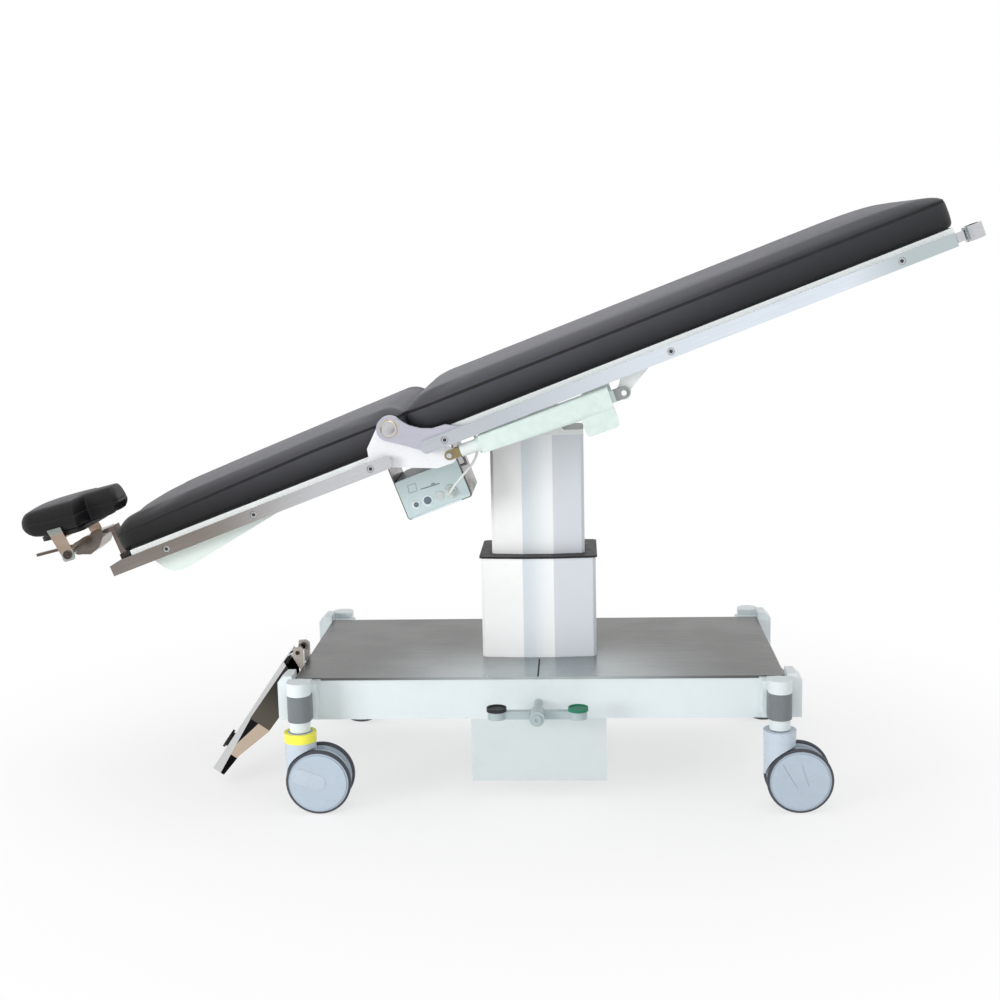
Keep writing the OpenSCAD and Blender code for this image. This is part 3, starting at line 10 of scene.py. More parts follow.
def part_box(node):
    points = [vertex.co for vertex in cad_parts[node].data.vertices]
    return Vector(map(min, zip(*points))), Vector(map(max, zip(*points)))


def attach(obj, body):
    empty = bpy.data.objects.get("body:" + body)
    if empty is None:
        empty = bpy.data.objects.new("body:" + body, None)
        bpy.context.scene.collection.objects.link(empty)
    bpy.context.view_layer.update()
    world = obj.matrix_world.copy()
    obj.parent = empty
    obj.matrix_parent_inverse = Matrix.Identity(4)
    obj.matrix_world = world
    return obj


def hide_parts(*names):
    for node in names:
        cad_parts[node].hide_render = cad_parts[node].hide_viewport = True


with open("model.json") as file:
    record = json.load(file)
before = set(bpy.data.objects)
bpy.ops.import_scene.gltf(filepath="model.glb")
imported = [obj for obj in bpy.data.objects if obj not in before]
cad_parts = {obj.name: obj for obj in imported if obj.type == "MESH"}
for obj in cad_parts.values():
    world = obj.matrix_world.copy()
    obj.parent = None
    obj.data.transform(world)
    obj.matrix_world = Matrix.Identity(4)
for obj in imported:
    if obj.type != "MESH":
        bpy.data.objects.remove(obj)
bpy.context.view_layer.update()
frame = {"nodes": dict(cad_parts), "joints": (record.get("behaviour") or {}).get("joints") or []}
nodes = frame["nodes"]
joints = {joint["name"]: joint for joint in frame["joints"]}


# Camera. It stands three metres in front of the column at chest height and looks a little
# down, so that the near side of the table is seen almost square on.
column_low, column_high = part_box("column_outer")
column_x = (column_low.x + column_high.x) / 2
camera_place = Vector((column_x + 0.088, -3.021, 1.063))
camera_yaw = math.radians(3.15)
camera_pitch = math.radians(9.58)
camera_roll = math.radians(-1.25)
forward = Vector((-math.sin(camera_yaw) * math.cos(camera_pitch),
                  math.cos(camera_yaw) * math.cos(camera_pitch), -math.sin(camera_pitch)))
level = Vector((math.cos(camera_yaw), math.sin(camera_yaw), 0))
upright = level.cross(forward)
rightward = math.cos(camera_roll) * level + math.sin(camera_roll) * upright
skyward = rightward.cross(forward)
camera_data = bpy.data.cameras.new("camera")
camera_data.sensor_width = 36
camera_data.lens = 54
camera_data.clip_end = 60
camera = bpy.data.objects.new("camera", camera_data)
camera.matrix_world = Matrix.Translation(camera_place) @ Matrix(
    (rightward, skyward, -forward)).transposed().to_4x4()
bpy.context.scene.collection.objects.link(camera)
bpy.context.scene.camera = camera


# Motor cable and its plug. A short pale sheathed lead leaves the last socket of the control
# box, rises beside it and goes into a gland in the frame. The plug is turned plastic.
hinge = Vector(joints["back_hinge"]["pos_m"])
along = -Vector(joints["head_slide"]["axis"])
above = Vector((-along.z, 0, along.x))
table_tilt = math.atan2(along.z, along.x)


def on_table(u, y, w):
    """A point given in millimetres from the back hinge: along the table, across it, square to it."""
    return hinge + along * (u / 1000) + above * (w / 1000) + Vector((0, y / 1000, 0))


def tint(red, green, blue):
    """A colour as it shows on a screen, from 0 to 255, turned into the shader's own scale."""
    def straight(value):
        share = value / 255
        return share / 12.92 if share < 0.04045 else ((share + 0.055) / 1.055) ** 2.4
    return (straight(red), straight(green), straight(blue), 1)


def shade(colour, share):
    """The same colour, darker where the share is under 1 and lighter where it is over 1."""
    return tuple(min(1, part * share) for part in colour[:3]) + (1,)


class Wire:
    """A socket of a finish. Arithmetic on it adds Math nodes."""

    def __init__(self, tree, socket):
        self.tree = tree
        self.socket = socket

    def math(self, operation, first, second=None):
        node = self.tree.nodes.new("ShaderNodeMath")
        node.operation = operation
        for place, value in zip(node.inputs, (first, second)):
            if value is not None:
                join(self.tree, value, place)
        return Wire(self.tree, node.outputs[0])

    def __add__(self, other):
        return self.math("ADD", self, other)

    def __sub__(self, other):
        return self.math("SUBTRACT", self, other)

    def __rsub__(self, other):
        return self.math("SUBTRACT", other, self)

    def __mul__(self, other):
        return self.math("MULTIPLY", self, other)

    def __gt__(self, other):
        return self.math("GREATER_THAN", self, other)

    def __lt__(self, other):
        return self.math("LESS_THAN", self, other)


def join(tree, value, place):
    """Links a wire to a socket, or sets a plain value on it."""
    if isinstance(value, Wire):
        tree.links.new(value.socket, place)
    else:
        place.default_value = value


class Finish:
    """One material round a Principled shader, whose plain values are given by socket name."""

    def __init__(self, name, values):
        self.material = bpy.data.materials.new(name)
        self.material.use_nodes = True
        self.tree = self.material.node_tree
        self.shader = self.tree.nodes["Principled BSDF"]
        for socket, value in values.items():
            self.shader.inputs[socket].default_value = value

    def add(self, kind, settings, inputs, output=0):
        """Adds a node: its settings first, and then its sockets. It gives one of its outputs."""
        node = self.tree.nodes.new(kind)
        for key, value in settings.items():
            setattr(node, key, value)
        for key, value in inputs.items():
            join(self.tree, value, node.inputs[key])
        return Wire(self.tree, node.outputs[output])

    def place(self, scale=(1, 1, 1), turn=(0, 0, 0)):
        """Coordinates in metres, fixed to the object, scaled and turned."""
        spot = self.add("ShaderNodeTexCoord", {}, {}, "Object")
        if scale == (1, 1, 1) and turn == (0, 0, 0):
            return spot
        return self.add("ShaderNodeMapping", {"vector_type": "POINT"},
                        {"Vector": self.add("ShaderNodeVectorRotate", {"rotation_type": "EULER_XYZ"},
                                            {"Vector": spot, "Rotation": turn}), "Scale": scale})

    def noise(self, where, scale, detail=2.0, rough=0.5):
        """Noise from 0 to 1, whose scale is its number of waves in a metre."""
        return self.add("ShaderNodeTexNoise", {},
                        {"Vector": where, "Scale": scale, "Detail": detail, "Roughness": rough})

    def blend(self, share, first, second):
        """Mixes two colours, first where share is 0 and second where it is 1."""
        return self.add("ShaderNodeMix", {"data_type": "RGBA"}, {0: share, 6: first, 7: second}, 2)

    def measure(self, direction, start):
        """Distance in metres of a point from start, along a direction."""
        gap = self.add("ShaderNodeVectorMath", {"operation": "SUBTRACT"},
                       {0: self.place(), 1: tuple(start)})
        return self.add("ShaderNodeVectorMath", {"operation": "DOT_PRODUCT"},
                        {0: gap, 1: tuple(direction)}, "Value")

    def fade(self, value, low, high):
        """0 below low, 1 above high, and smooth between them."""
        return self.add("ShaderNodeMapRange", {"interpolation_type": "SMOOTHSTEP", "clamp": True},
                        {"Value": value, "From Min": low, "From Max": high})

    def feed(self, socket, value):
        """Links a value to a socket of the shader."""
        join(self.tree, value, self.shader.inputs[socket])

    def relief(self, height, depth, strength=1.0):
        """Bump of a given depth in metres."""
        self.feed("Normal", self.add("ShaderNodeBump", {},
                                     {"Height": height, "Distance": depth, "Strength": strength}))


def moulded(name, colour, rough=0.4, drift=0.05):
    """Moulded plastic or rubber: a slow drift of tone, handling marks and a fine spark texture."""
    texture_depth = 0.00003
    finish = Finish(name, {"Specular IOR Level": 0.45})
    spot = finish.place()
    slow = finish.noise(spot, 7, 3)
    marks = finish.noise(spot, 60, 4, 0.65)
    finish.feed("Base Color", finish.blend(finish.fade(slow * 0.6 + marks * 0.4, 0.35, 0.65),
                                           shade(colour, 1 - drift), shade(colour, 1 + drift)))
    finish.feed("Roughness", finish.fade(marks, 0.3, 0.7) * 0.12 + (rough - 0.06))
    finish.relief(finish.noise(spot, 1300, 1), texture_depth, 0.5)
    return finish.material


def show(name, points, faces, material, body, slot, stands_for=(), smooth=40):
    """Makes a piece from its points in metres, fixes it to a body and hides the CAD parts that it stands
    for.
    """
    mesh = bpy.data.meshes.new(name)
    mesh.from_pydata([tuple(point) for point in points], [], faces)
    mesh.update()
    shape = bmesh.new()
    shape.from_mesh(mesh)
    bmesh.ops.recalc_face_normals(shape, faces=shape.faces)
    shape.to_mesh(mesh)
    shape.free()
    mesh.materials.append(material)
    made = bpy.data.objects.new(name, mesh)
    bpy.context.scene.collection.objects.link(made)
    mesh.shade_smooth()
    if smooth < 180:
        mesh.set_sharp_from_angle(angle=math.radians(smooth))
    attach(made, body)
    if stands_for:
        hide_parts(*stands_for)
    return made


def turned(profile, centre, axis, steps=48, hexes=()):
    """Points and faces of a turned form. The profile is (distance along the axis, radius) in mm,
    and the rings numbered in hexes are hexagons of that radius across their flats."""
    askew = Vector((0.3, 0.2, 1))
    axis = Vector(axis).normalized()
    side = axis.cross(askew).normalized()
    rise = axis.cross(side)
    points, faces = [], []
    for ring, (reach, radius) in enumerate(profile):
        for step in range(steps):
            turn = 2 * math.pi * step / steps
            flat = math.cos((turn % (math.pi / 3)) - math.pi / 6) if ring in hexes else 1
            points.append(Vector(centre) + axis * (reach / 1000)
                          + (side * math.cos(turn) + rise * math.sin(turn)) * (radius / flat / 1000))
    for ring in range(len(profile) - 1):
        for step in range(steps):
            following = (step + 1) % steps
            faces.append((ring * steps + step, ring * steps + following,
                          (ring + 1) * steps + following, (ring + 1) * steps + step))
    faces.append(tuple(range(steps))[::-1])
    faces.append(tuple((len(profile) - 1) * steps + step for step in range(steps)))
    return points, faces


def gather(forms):
    """Points and faces of several forms as one list of each."""
    points, faces = [], []
    for form_points, form_faces in forms:
        first = len(points)
        points += form_points
        faces += [tuple(first + k for k in face) for face in form_faces]
    return points, faces


near_side = Vector((0, -1, 0))
box_front, socket_line, plug_u = -150, -165, 46
cable_route = [
    (46, -164, -165), (46, -168, -165), (47, -173, -164), (50, -178, -162), (55, -182, -158),
    (62, -186, -153), (70, -190, -148), (79, -194, -143), (88, -198, -138), (97, -202, -133),
    (106, -206, -128), (115, -210, -122), (123, -215, -115), (130, -220, -107),
    (135, -224, -98), (138, -227, -88), (139, -228, -77), (139, -228, -66)]
cable_width = 0.0048
cable_points = [on_table(*point) for point in cable_route]
cable_length = sum((b - a).length for a, b in zip(cable_points, cable_points[1:]))
cable_curve = bpy.data.curves.new("motor_cable_lead", "CURVE")
cable_curve.dimensions = "3D"
cable_curve.bevel_depth = cable_width / 2
cable_curve.bevel_resolution = 4
cable_curve.resolution_u = 4
cable_curve.use_fill_caps = True
cable_line = cable_curve.splines.new("POLY")
cable_line.points.add(len(cable_points) - 1)
for knot, point in zip(cable_line.points, cable_points):
    knot.co = (*point, 1)
cable = bpy.data.objects.new("motor_cable_lead", cable_curve)
bpy.context.scene.collection.objects.link(cable)
cable_curve.materials.append(moulded("cable_sheath", tint(226, 230, 228), 0.42))
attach(cable, "tabletop")
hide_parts("motor_cable")
plug_centre = on_table(plug_u, box_front, socket_line)
plug_profile = [(-3, 9.9), (0.3, 9.9), (0.3, 12.4), (0.8, 13), (3.4, 13), (4, 12.4), (4, 8.4),
                (9.4, 8.2), (9.9, 7.6), (10.1, 6.8), (10.4, 5.6), (13.6, 4.4), (13.9, 3.4), (13.9, 2.5)]
plug_screw_profile = [(4, 1.2), (5.3, 1.2), (5.6, 0.9), (5.6, 0.5), (5.1, 0.4)]
plug_screw_ring = 9.9
plug_screws = []
for turn in (0.6, 2.2, 3.8, 5.3):
    screw_place = on_table(plug_u + plug_screw_ring * math.cos(turn), box_front,
                           socket_line + plug_screw_ring * math.sin(turn))
    plug_screws.append(turned(plug_screw_profile, screw_place, near_side, 16))
plug = show("motor_plug_body", *gather([turned(plug_profile, plug_centre, near_side)] + plug_screws),
            moulded("plug_plastic", tint(206, 216, 213), 0.3), "tabletop", "plug_plastic",
            ["motor_plug"])
tuple(cable_points[0])


# Studio floor, walls of light and lamps. The floor is pale and takes the object's soft shadow.
# Farther out it is the same plain white as the surroundings, and polished metal sees it dim and
# brown in front of the head end, as a real studio floor is away from its lamps.
floor_half = 30
floor_corners = [(x * floor_half, y * floor_half, 0) for x, y in ((-1, -1), (1, -1), (1, 1), (-1, 1))]
floor_mesh = bpy.data.meshes.new("studio_floor")
floor_mesh.from_pydata(floor_corners, [], [(0, 1, 2, 3)])
floor = bpy.data.objects.new("studio_floor", floor_mesh)
bpy.context.scene.collection.objects.link(floor)
floor_finish = Finish("studio_floor", {"Base Color": (0.94, 0.94, 0.94, 1), "Roughness": 0.9,
                                       "Specular IOR Level": 0.1})
spread = floor_finish.add("ShaderNodeVectorMath", {"operation": "LENGTH"},
                          {0: floor_finish.place()}, "Value")
ray_kinds = ("Is Camera Ray", "Is Glossy Ray", "Is Transmission Ray")
seen, mirrored, passed = [floor_finish.add("ShaderNodeLightPath", {}, {}, kind) for kind in ray_kinds]
shadow_depth = 0.32
far_off = floor_finish.fade(spread, 0.6, 1.5) * shadow_depth + (1 - shadow_depth)
in_front = floor_finish.fade(floor_finish.measure((0, -1, 0), (0, 0, 0)), 1.6, 3.0)
head_end = floor_finish.fade(floor_finish.measure((-1, 0, 0), (0, 0, 0)), 1.2, 2.0)
sheen_floor = floor_finish.blend(in_front * head_end, (1, 1, 1, 1), tint(96, 88, 80))
bright = floor_finish.add("ShaderNodeEmission", {}, {
    "Color": floor_finish.blend(mirrored, (1, 1, 1, 1), sheen_floor), "Strength": 1})
share = seen * far_off + mirrored.math("MAXIMUM", mirrored, passed) * (1 - seen)
floor_mix = floor_finish.add("ShaderNodeMixShader", {}, {
    0: share, 1: Wire(floor_finish.tree, floor_finish.shader.outputs[0]), 2: bright})
floor_finish.tree.links.new(floor_mix.socket,
                            floor_finish.tree.nodes["Material Output"].inputs["Surface"])
floor_mesh.materials.append(floor_finish.material)

world = bpy.data.worlds.new("studio")
world.use_nodes = True
bpy.context.scene.world = world
sky = world.node_tree
sky_light = sky.nodes["Background"]
sky_light.inputs["Color"].default_value = (1, 1, 1, 1)
sky_rays = sky.nodes.new("ShaderNodeLightPath")
sky_seen, sky_mirrored, sky_passed = [Wire(sky, sky_rays.outputs[kind]) for kind in ray_kinds]
indirect = sky_mirrored.math("MAXIMUM", sky_mirrored, sky_passed)
direct = sky_seen.math("MAXIMUM", sky_seen, indirect)
world_share = 0.69
join(sky, direct * (1 - world_share) + world_share, sky_light.inputs["Strength"])


def lamp(name, place, aim, size, power, colour=(1, 1, 1), mirrored_too=False):
    """A square soft light that faces a point. Polished metal sees it only where it is told to."""
    data = bpy.data.lights.new(name, "AREA")
    data.shape = "SQUARE"
    data.size = size
    data.energy = power
    data.color = colour
    made = bpy.data.objects.new(name, data)
    made.visible_glossy = mirrored_too
    made.location = place
    made.rotation_euler = (Vector(aim) - Vector(place)).to_track_quat("-Z", "Y").to_euler()
    bpy.context.scene.collection.objects.link(made)


lamp("key_light", (-3.2, -3.0, 1.1), (0.1, 0, 0.55), 1.6, 78)
lamp("top_light", (0.4, 0.2, 3.6), (0.1, 0, 0.6), 2.4, 24, mirrored_too=True)
lamp("low_light", (0.9, -3.6, 0.5), (0.1, 0, 0.5), 1.4, 10, (0.95, 0.97, 1))
bpy.context.scene.view_settings.view_transform = "Standard"


# Padded upholstery. Each pad is foam on a board, covered in black leatherette: a top panel that
# wraps over the shoulders to one sewn seam, and a side panel that is pulled in under the board.
leather = Finish("black_leatherette", {"Specular IOR Level": 0.38, "Sheen Weight": 0.07,
                                       "Sheen Roughness": 0.35, "Sheen Tint": tint(196, 198, 232)})
leather_spot = leather.place()
leather_slow = leather.noise(leather_spot, 5, 3)
leather_cells = leather.add("ShaderNodeTexVoronoi", {"feature": "DISTANCE_TO_EDGE"},
                            {"Vector": leather_spot, "Scale": 620, "Randomness": 0.9})
leather_pores = leather.noise(leather_spot, 2600, 2)
pad_height = leather.measure(above, hinge)
# Painted shade: each pad's side panel darkens towards its underside.
leather_low_shade = leather.fade(pad_height, -0.036, 0.014)
leather_tone = leather.fade(leather_slow * 0.7 + leather.noise(leather_spot, 90, 3) * 0.3, 0.3, 0.7)
leather_skin = leather.blend(leather_tone, tint(62, 62, 67), tint(68, 69, 75))
pad_along = leather.measure(along, hinge)
leather_shaded_skin = leather.blend(leather_low_shade, tint(22, 22, 25), leather_skin)
# Painted shade: the seat pad darkens towards its foot end, the back pad towards its head end, and the
# head pad is made almost black.
foot_end_shade = leather.fade(pad_along, 0.35, 0.95) * 0.62
leather_foot_shade = leather.blend(foot_end_shade, leather_shaded_skin, tint(18, 20, 23))
leather_back_shade = leather.blend(leather.fade(pad_along, -0.62, -0.1), tint(12, 12, 13), leather_foot_shade)
leather.feed("Base Color", leather.blend(pad_along < -0.585, leather_back_shade, tint(6, 6, 7)))
leather.feed("Roughness", leather_tone * 0.06 + (leather.fade(leather_cells, 0.02, 0.2) * -0.05 + 0.45))
leather.relief(leather.fade(leather_cells, 0.0, 0.22) * 0.8 + leather_pores * 0.2, 0.00014, 0.6)
# The faces that line each seam groove take this dark colour as painted shade.
seam_shadow = moulded("seam_groove_shade", tint(22, 22, 24), 0.7)


def ease(gap, reach, power=2.0):
    """Share of a rounded edge's height that is left at a distance from that edge."""
    if gap >= reach:
        return 1.0
    return (1 - (1 - max(gap, 0) / reach) ** power) ** (1 / power)


def rounding(reach, steps):
    """Distances from an edge, close together where the surface turns."""
    return [reach * (1 - math.cos(math.pi / 2 * step / steps)) for step in range(steps)]


def cushion(put, start, length, ends, half, top, seam, low, crown, side=34, pitch=22, groove=2.4,
            bend=None):
    """Points and faces of a pad: top panel, seam groove, side panel and underside, as functions
    of the distance along it in mm, the number of points in the top that the foam may lift, and
    the range of faces that line the seam."""
    edge_steps, row_pitch = 8, 20
    bend_margin, bend_steps = 3, 12
    first, last = ends
    straight = length - first - last
    inner_rows = max(2, round(straight / row_pitch))
    rows = (rounding(first, edge_steps)
            + [first + straight * k / inner_rows for k in range(inner_rows + 1)]
            + [length - gap for gap in reversed(rounding(last, edge_steps))])
    if bend:
        bend_start, bend_end = bend
        rows = [row for row in rows if not bend_start - bend_margin < row < bend_end + bend_margin]
        rows = sorted(rows + [bend_start + (bend_end - bend_start) * k / bend_steps
                              for k in range(bend_steps + 1)])
    middle = max(2, round(2 * (half(length / 2) - side) / pitch))
    lip = 0.5 * groove

    def across(wide):
        edge = min(side, 0.8 * wide)
        inner = wide - edge
        return ([-(wide - gap) for gap in rounding(edge, edge_steps)]
                + [-inner + 2 * inner * k / middle for k in range(middle + 1)]
                + [wide - gap for gap in reversed(rounding(edge, edge_steps))])

    grid = [across(half(row)) for row in rows]
    columns = len(grid[0])
    points, faces = [], []
    for row, line in zip(rows, grid):
        wide = half(row)
        ends_left = ease(row, first) * ease(length - row, last, 2.2)
        for y in line:
            left = ends_left * ease(wide - abs(y), min(side, 0.8 * wide))
            level = top(row) + crown * (1 - (y / wide) ** 2)
            points.append(put(start + row, y, seam(row) + lip + (level - seam(row) - lip) * left))
    for i in range(len(rows) - 1):
        for j in range(columns - 1):
            a = i * columns + j
            faces.append((a, a + 1, a + columns + 1, a + columns))
    lifted = len(points)
    border = ([(0, j) for j in range(columns)] + [(i, columns - 1) for i in range(1, len(rows))]
              + [(len(rows) - 1, j) for j in range(columns - 2, -1, -1)]
              + [(i, 0) for i in range(len(rows) - 2, 0, -1)])
    outline = [(rows[i], grid[i][j]) for i, j in border]
    outward = []
    for k, _ in enumerate(outline):
        before, after = outline[k - 1], outline[(k + 1) % len(outline)]
        run, rise = after[0] - before[0], after[1] - before[1]
        size = math.hypot(run, rise) or 1
        outward.append((-rise / size, run / size))
    rings = [[i * columns + j for i, j in border]]

    def hem(push, height):
        """One more ring below the last, pushed outward, at a height given by the distance along."""
        ring = []
        for (row, y), (out_row, out_y) in zip(outline, outward):
            ring.append(len(points))
            points.append(put(start + row + out_row * push, y + out_y * push, height(row)))
        above_ring = rings[-1]
        for k, _ in enumerate(ring):
            after = (k + 1) % len(ring)
            faces.append((above_ring[k], above_ring[after], ring[after], ring[k]))
        rings.append(ring)

    seam_lining = len(faces)
    hem(-groove, seam)
    hem(0, lambda row: seam(row) - lip)
    seam_lining = (seam_lining, len(faces))
    for push, share in ((0.5, 0.25), (0.9, 0.5), (0.2, 0.74)):
        hem(push, lambda row: seam(row) - (seam(row) - low(row)) * share)
    curl_in, curl_share = 8, 0.22
    for turn in (18, 40, 62, 84):
        curl = math.radians(turn)
        hem(-curl_in * (1 - math.cos(curl)),
            lambda row: low(row) + (seam(row) - low(row)) * curl_share * (1 - math.sin(curl)))
    for push in (-14, -22):
        hem(push, low)
    faces.append(tuple(rings[-1]))
    return points, faces, lifted, seam_lining


def puff(made, lifted, cap):
    """Lets the foam fill the cover: cloth under pressure for 20 frames, held at the seam and
    below, with no point moved farther than cap metres."""
    mesh = made.data
    rest = [point.co.copy() for point in mesh.vertices]
    held = made.vertex_groups.new(name="held")
    held.add(list(range(lifted, len(rest))), 1.0, "REPLACE")
    cloth = made.modifiers.new("cloth", "CLOTH")
    cloth.settings.vertex_group_mass = "held"
    cloth.settings.use_pressure = True
    cloth.settings.uniform_pressure_force = 4
    cloth.settings.mass = 0.3
    cloth.settings.tension_stiffness = 30
    cloth.settings.compression_stiffness = 30
    cloth.settings.bending_stiffness = 6
    cloth.settings.effector_weights.gravity = 0
    cloth.collision_settings.use_collision = False
    scene = bpy.context.scene
    for step in range(1, 21):
        scene.frame_set(step)
    shaped = made.evaluated_get(bpy.context.evaluated_depsgraph_get())
    moved = [point.co.copy() for point in shaped.data.vertices]
    made.modifiers.remove(cloth)
    scene.frame_set(1)
    for point, old, new in zip(mesh.vertices, rest, moved):
        way = new - old
        if way.length > cap:
            way *= cap / way.length
        point.co = old + way
    made.vertex_groups.remove(held)
    mesh.update()


def upholster(name, form, body, stands_for, cap):
    """Makes a pad from the form that cushion gives, with its seam groove painted dark as shade and its
    foam puffed.
    """
    points, faces, lifted, seam_lining = form
    made = show(name, points, faces, leather.material, body, "upholstery", stands_for, smooth=180)
    made.data.materials.append(seam_shadow)
    for face in made.data.polygons[seam_lining[0]:seam_lining[1]]:
        face.material_index = 1
    puff(made, lifted, cap)
    fine = made.modifiers.new("fine", "SUBSURF")
    fine.levels = 1
    fine.render_levels = 1


pad_half = 248.5
pad_low = -35.4
pad_corner = 26
pad_crown = 4.6
pad_lift = 0.003
seat_start, seat_end = 33.8, 1089.6
seat_length = seat_end - seat_start
seat_top, seat_seam = 35.0, 13.5
back_start, back_end = -576.6, 31.6
back_length = back_end - back_start


def pad_side(length, head_round, foot_round):
    """Half width of a pad as a function of the distance along it, less at its rounded corners."""
    def half(d):
        return pad_half - pad_corner * (1 - min(ease(d, head_round), ease(length - d, foot_round)))

    return half


def back_top(d):
    """Height of the back pad's top, which rises towards the hinge."""
    return 17.0 + 15 * min(1, d / 577) ** 0.62


def back_seam(d):
    """Height of the back pad's seam, which rises with the top."""
    return -4 + 16 * min(1, d / 420) ** 0.8


upholster("seat_pad_cushion", cushion(
    on_table, seat_start, seat_length, ends=(75, 180), half=pad_side(seat_length, 40, 55),
    top=lambda d: seat_top, seam=lambda d: seat_seam, low=lambda d: pad_low, crown=pad_crown),
    "tabletop", ["seat_pad"], pad_lift)
upholster("back_pad_cushion", cushion(
    on_table, back_start, back_length, ends=(34, 40), half=pad_side(back_length, 55, 40),
    top=back_top, seam=back_seam, low=lambda d: pad_low, crown=pad_crown),
    "back", ["back_pad"], pad_lift)

head_pivot = Vector(joints["headrest_tilt"]["pos_m"])
head_turn = math.radians(15)
head_along = Vector((math.cos(head_turn), 0, math.sin(head_turn)))
head_above = Vector((-math.sin(head_turn), 0, math.cos(head_turn)))


def on_head(p, y, q):
    """A point in millimetres from the headrest's pivot: along it, across it, square to it."""
    return head_pivot + head_along * (p / 1000) + head_above * (q / 1000) + Vector((0, y / 1000, 0))


head_start, head_length = -84.6, 194.2
neck_start, neck_end = 119, 131
neck_half, head_extra = 40, 57
head_corner, neck_corner = 30, 14
head_top, head_under = 101.0, 46.3
head_lift = 0.002


def head_half(d):
    """Half width of the head pad: wide behind the head, narrow at the neck."""
    share = min(1, max(0, (d - neck_start) / (neck_end - neck_start)))
    return (neck_half + head_extra * (0.5 + 0.5 * math.cos(math.pi * share))
            - head_corner * (1 - ease(d, 40)) - neck_corner * (1 - ease(head_length - d, 14)))


def head_seam(d):
    """Height of the head pad's seam, a little higher at its free end."""
    return 46 + 60 * (0.45 + 0.12 * (1 - min(1, d / 60)))


def head_low(d):
    """Height of the head pad's underside, rounded up to the seam at both ends."""
    past = 0.6
    ends_left = min(ease(d + past, 57), ease(head_length + past - d, 24))
    return head_seam(d) - (head_seam(d) - head_under) * ends_left


upholster("head_pad_cushion", cushion(
    on_head, head_start, head_length, ends=(27, 11), half=head_half, top=lambda d: head_top,
    seam=head_seam, low=head_low, crown=3.8, side=18, pitch=16, groove=0.7,
    bend=(neck_start, neck_end)), "headrest", ["head_pad"], head_lift)


# Painted steel of the base, the column and the table's frames: folded and welded plate, sprayed
# with white enamel. The column's facets carry painted shade, and the frame's head end its own tone.
rubbed_share = 0.955
peel_depth = 0.00004


def enamel(name, colour, rough=0.34, tone=None):
    """Sprayed enamel: slow drift of tone, faint rubbed patches and fine orange peel. A tone is a
    function that lays another colour over parts of it."""
    finish = Finish(name, {"Specular IOR Level": 0.5, "Coat Roughness": 0.12, "Coat Weight": 0.15})
    spot = finish.place()
    slow = finish.noise(spot, 4, 3)
    rubbed = finish.noise(spot, 38, 4, 0.6)
    skin = finish.blend(finish.fade(slow * 0.7 + rubbed * 0.3, 0.35, 0.62),
                        shade(colour, rubbed_share), colour)
    finish.feed("Base Color", tone(finish, skin) if tone else skin)
    finish.feed("Roughness", finish.fade(rubbed, 0.3, 0.75) * 0.1 + (rough - 0.05))
    finish.relief(finish.noise(spot, 420, 1), peel_depth, 0.35)
    return finish.material


def dress(names, material, edge=0.0008):
    """Gives CAD solids their finish and breaks their sharp edges."""
    for name in names:
        node = nodes[name]
        node.data.materials.clear()
        node.data.materials.append(material)
        rim = node.modifiers.new("edges", "BEVEL")
        rim.width = edge
        rim.segments = 2
        rim.limit_method = "ANGLE"
        rim.angle_limit = math.radians(40)
        node.modifiers.new("shading", "WEIGHTED_NORMAL").keep_sharp = True


def facet_painted_shade(finish, skin):
    """Painted shade on the column's facets: the middle one runs from blue-grey to white, and the right
    one is cooler.
    """
    fold = 0.031
    over = finish.measure((1, 0, 0), (column_x, 0, 0))
    middle = finish.blend(finish.fade(over, -fold, fold), tint(219, 228, 233), tint(252, 254, 254))
    inward = finish.blend(over > -fold, skin, middle)
    return finish.blend(over > fold, inward, tint(221, 226, 232))


def lug_tone(finish, skin):
    """The lugs that hold the foot control are bare, in a warm grey."""
    lug_middle, lug_reach, frame_end = -0.09, 0.05, -0.474
    over = finish.measure((1, 0, 0), (column_x, 0, 0))
    across = finish.measure((0, 1, 0), (0, lug_middle, 0))
    lugs = (over < frame_end) * (across.math("ABSOLUTE", across) < lug_reach)
    return finish.blend(lugs, skin, tint(178, 168, 160))


white = tint(240, 244, 243)
dress(["column_head", "seat_frame"], enamel("white_paint", white))
dress(["base_frame"], enamel("base_paint", tint(226, 235, 237), tone=lug_tone))
dress(["lower_housing"], enamel("housing_paint", tint(214, 223, 224)))
dress(["column_outer", "column_inner"], enamel("column_paint", tint(254, 254, 254), tone=facet_painted_shade))
dress(["lever_plates"], enamel("lever_paint", tint(238, 240, 243), 0.3))


def back_tone(finish, skin):
    """The frame's head end is black, and its cheeks are pale mint."""
    cheek_top, black_end = -0.069, -0.556
    over = finish.measure(along, hinge)
    down = finish.measure(above, hinge)
    cheeks = finish.blend(down < cheek_top, skin, tint(222, 233, 228))
    return finish.blend(over < black_end, cheeks, tint(34, 33, 34))


dress(["back_frame"], enamel("back_paint", white, tone=back_tone))
dress(["power_pack", "tilt_drive"], enamel("drive_paint", tint(92, 97, 102), 0.45))


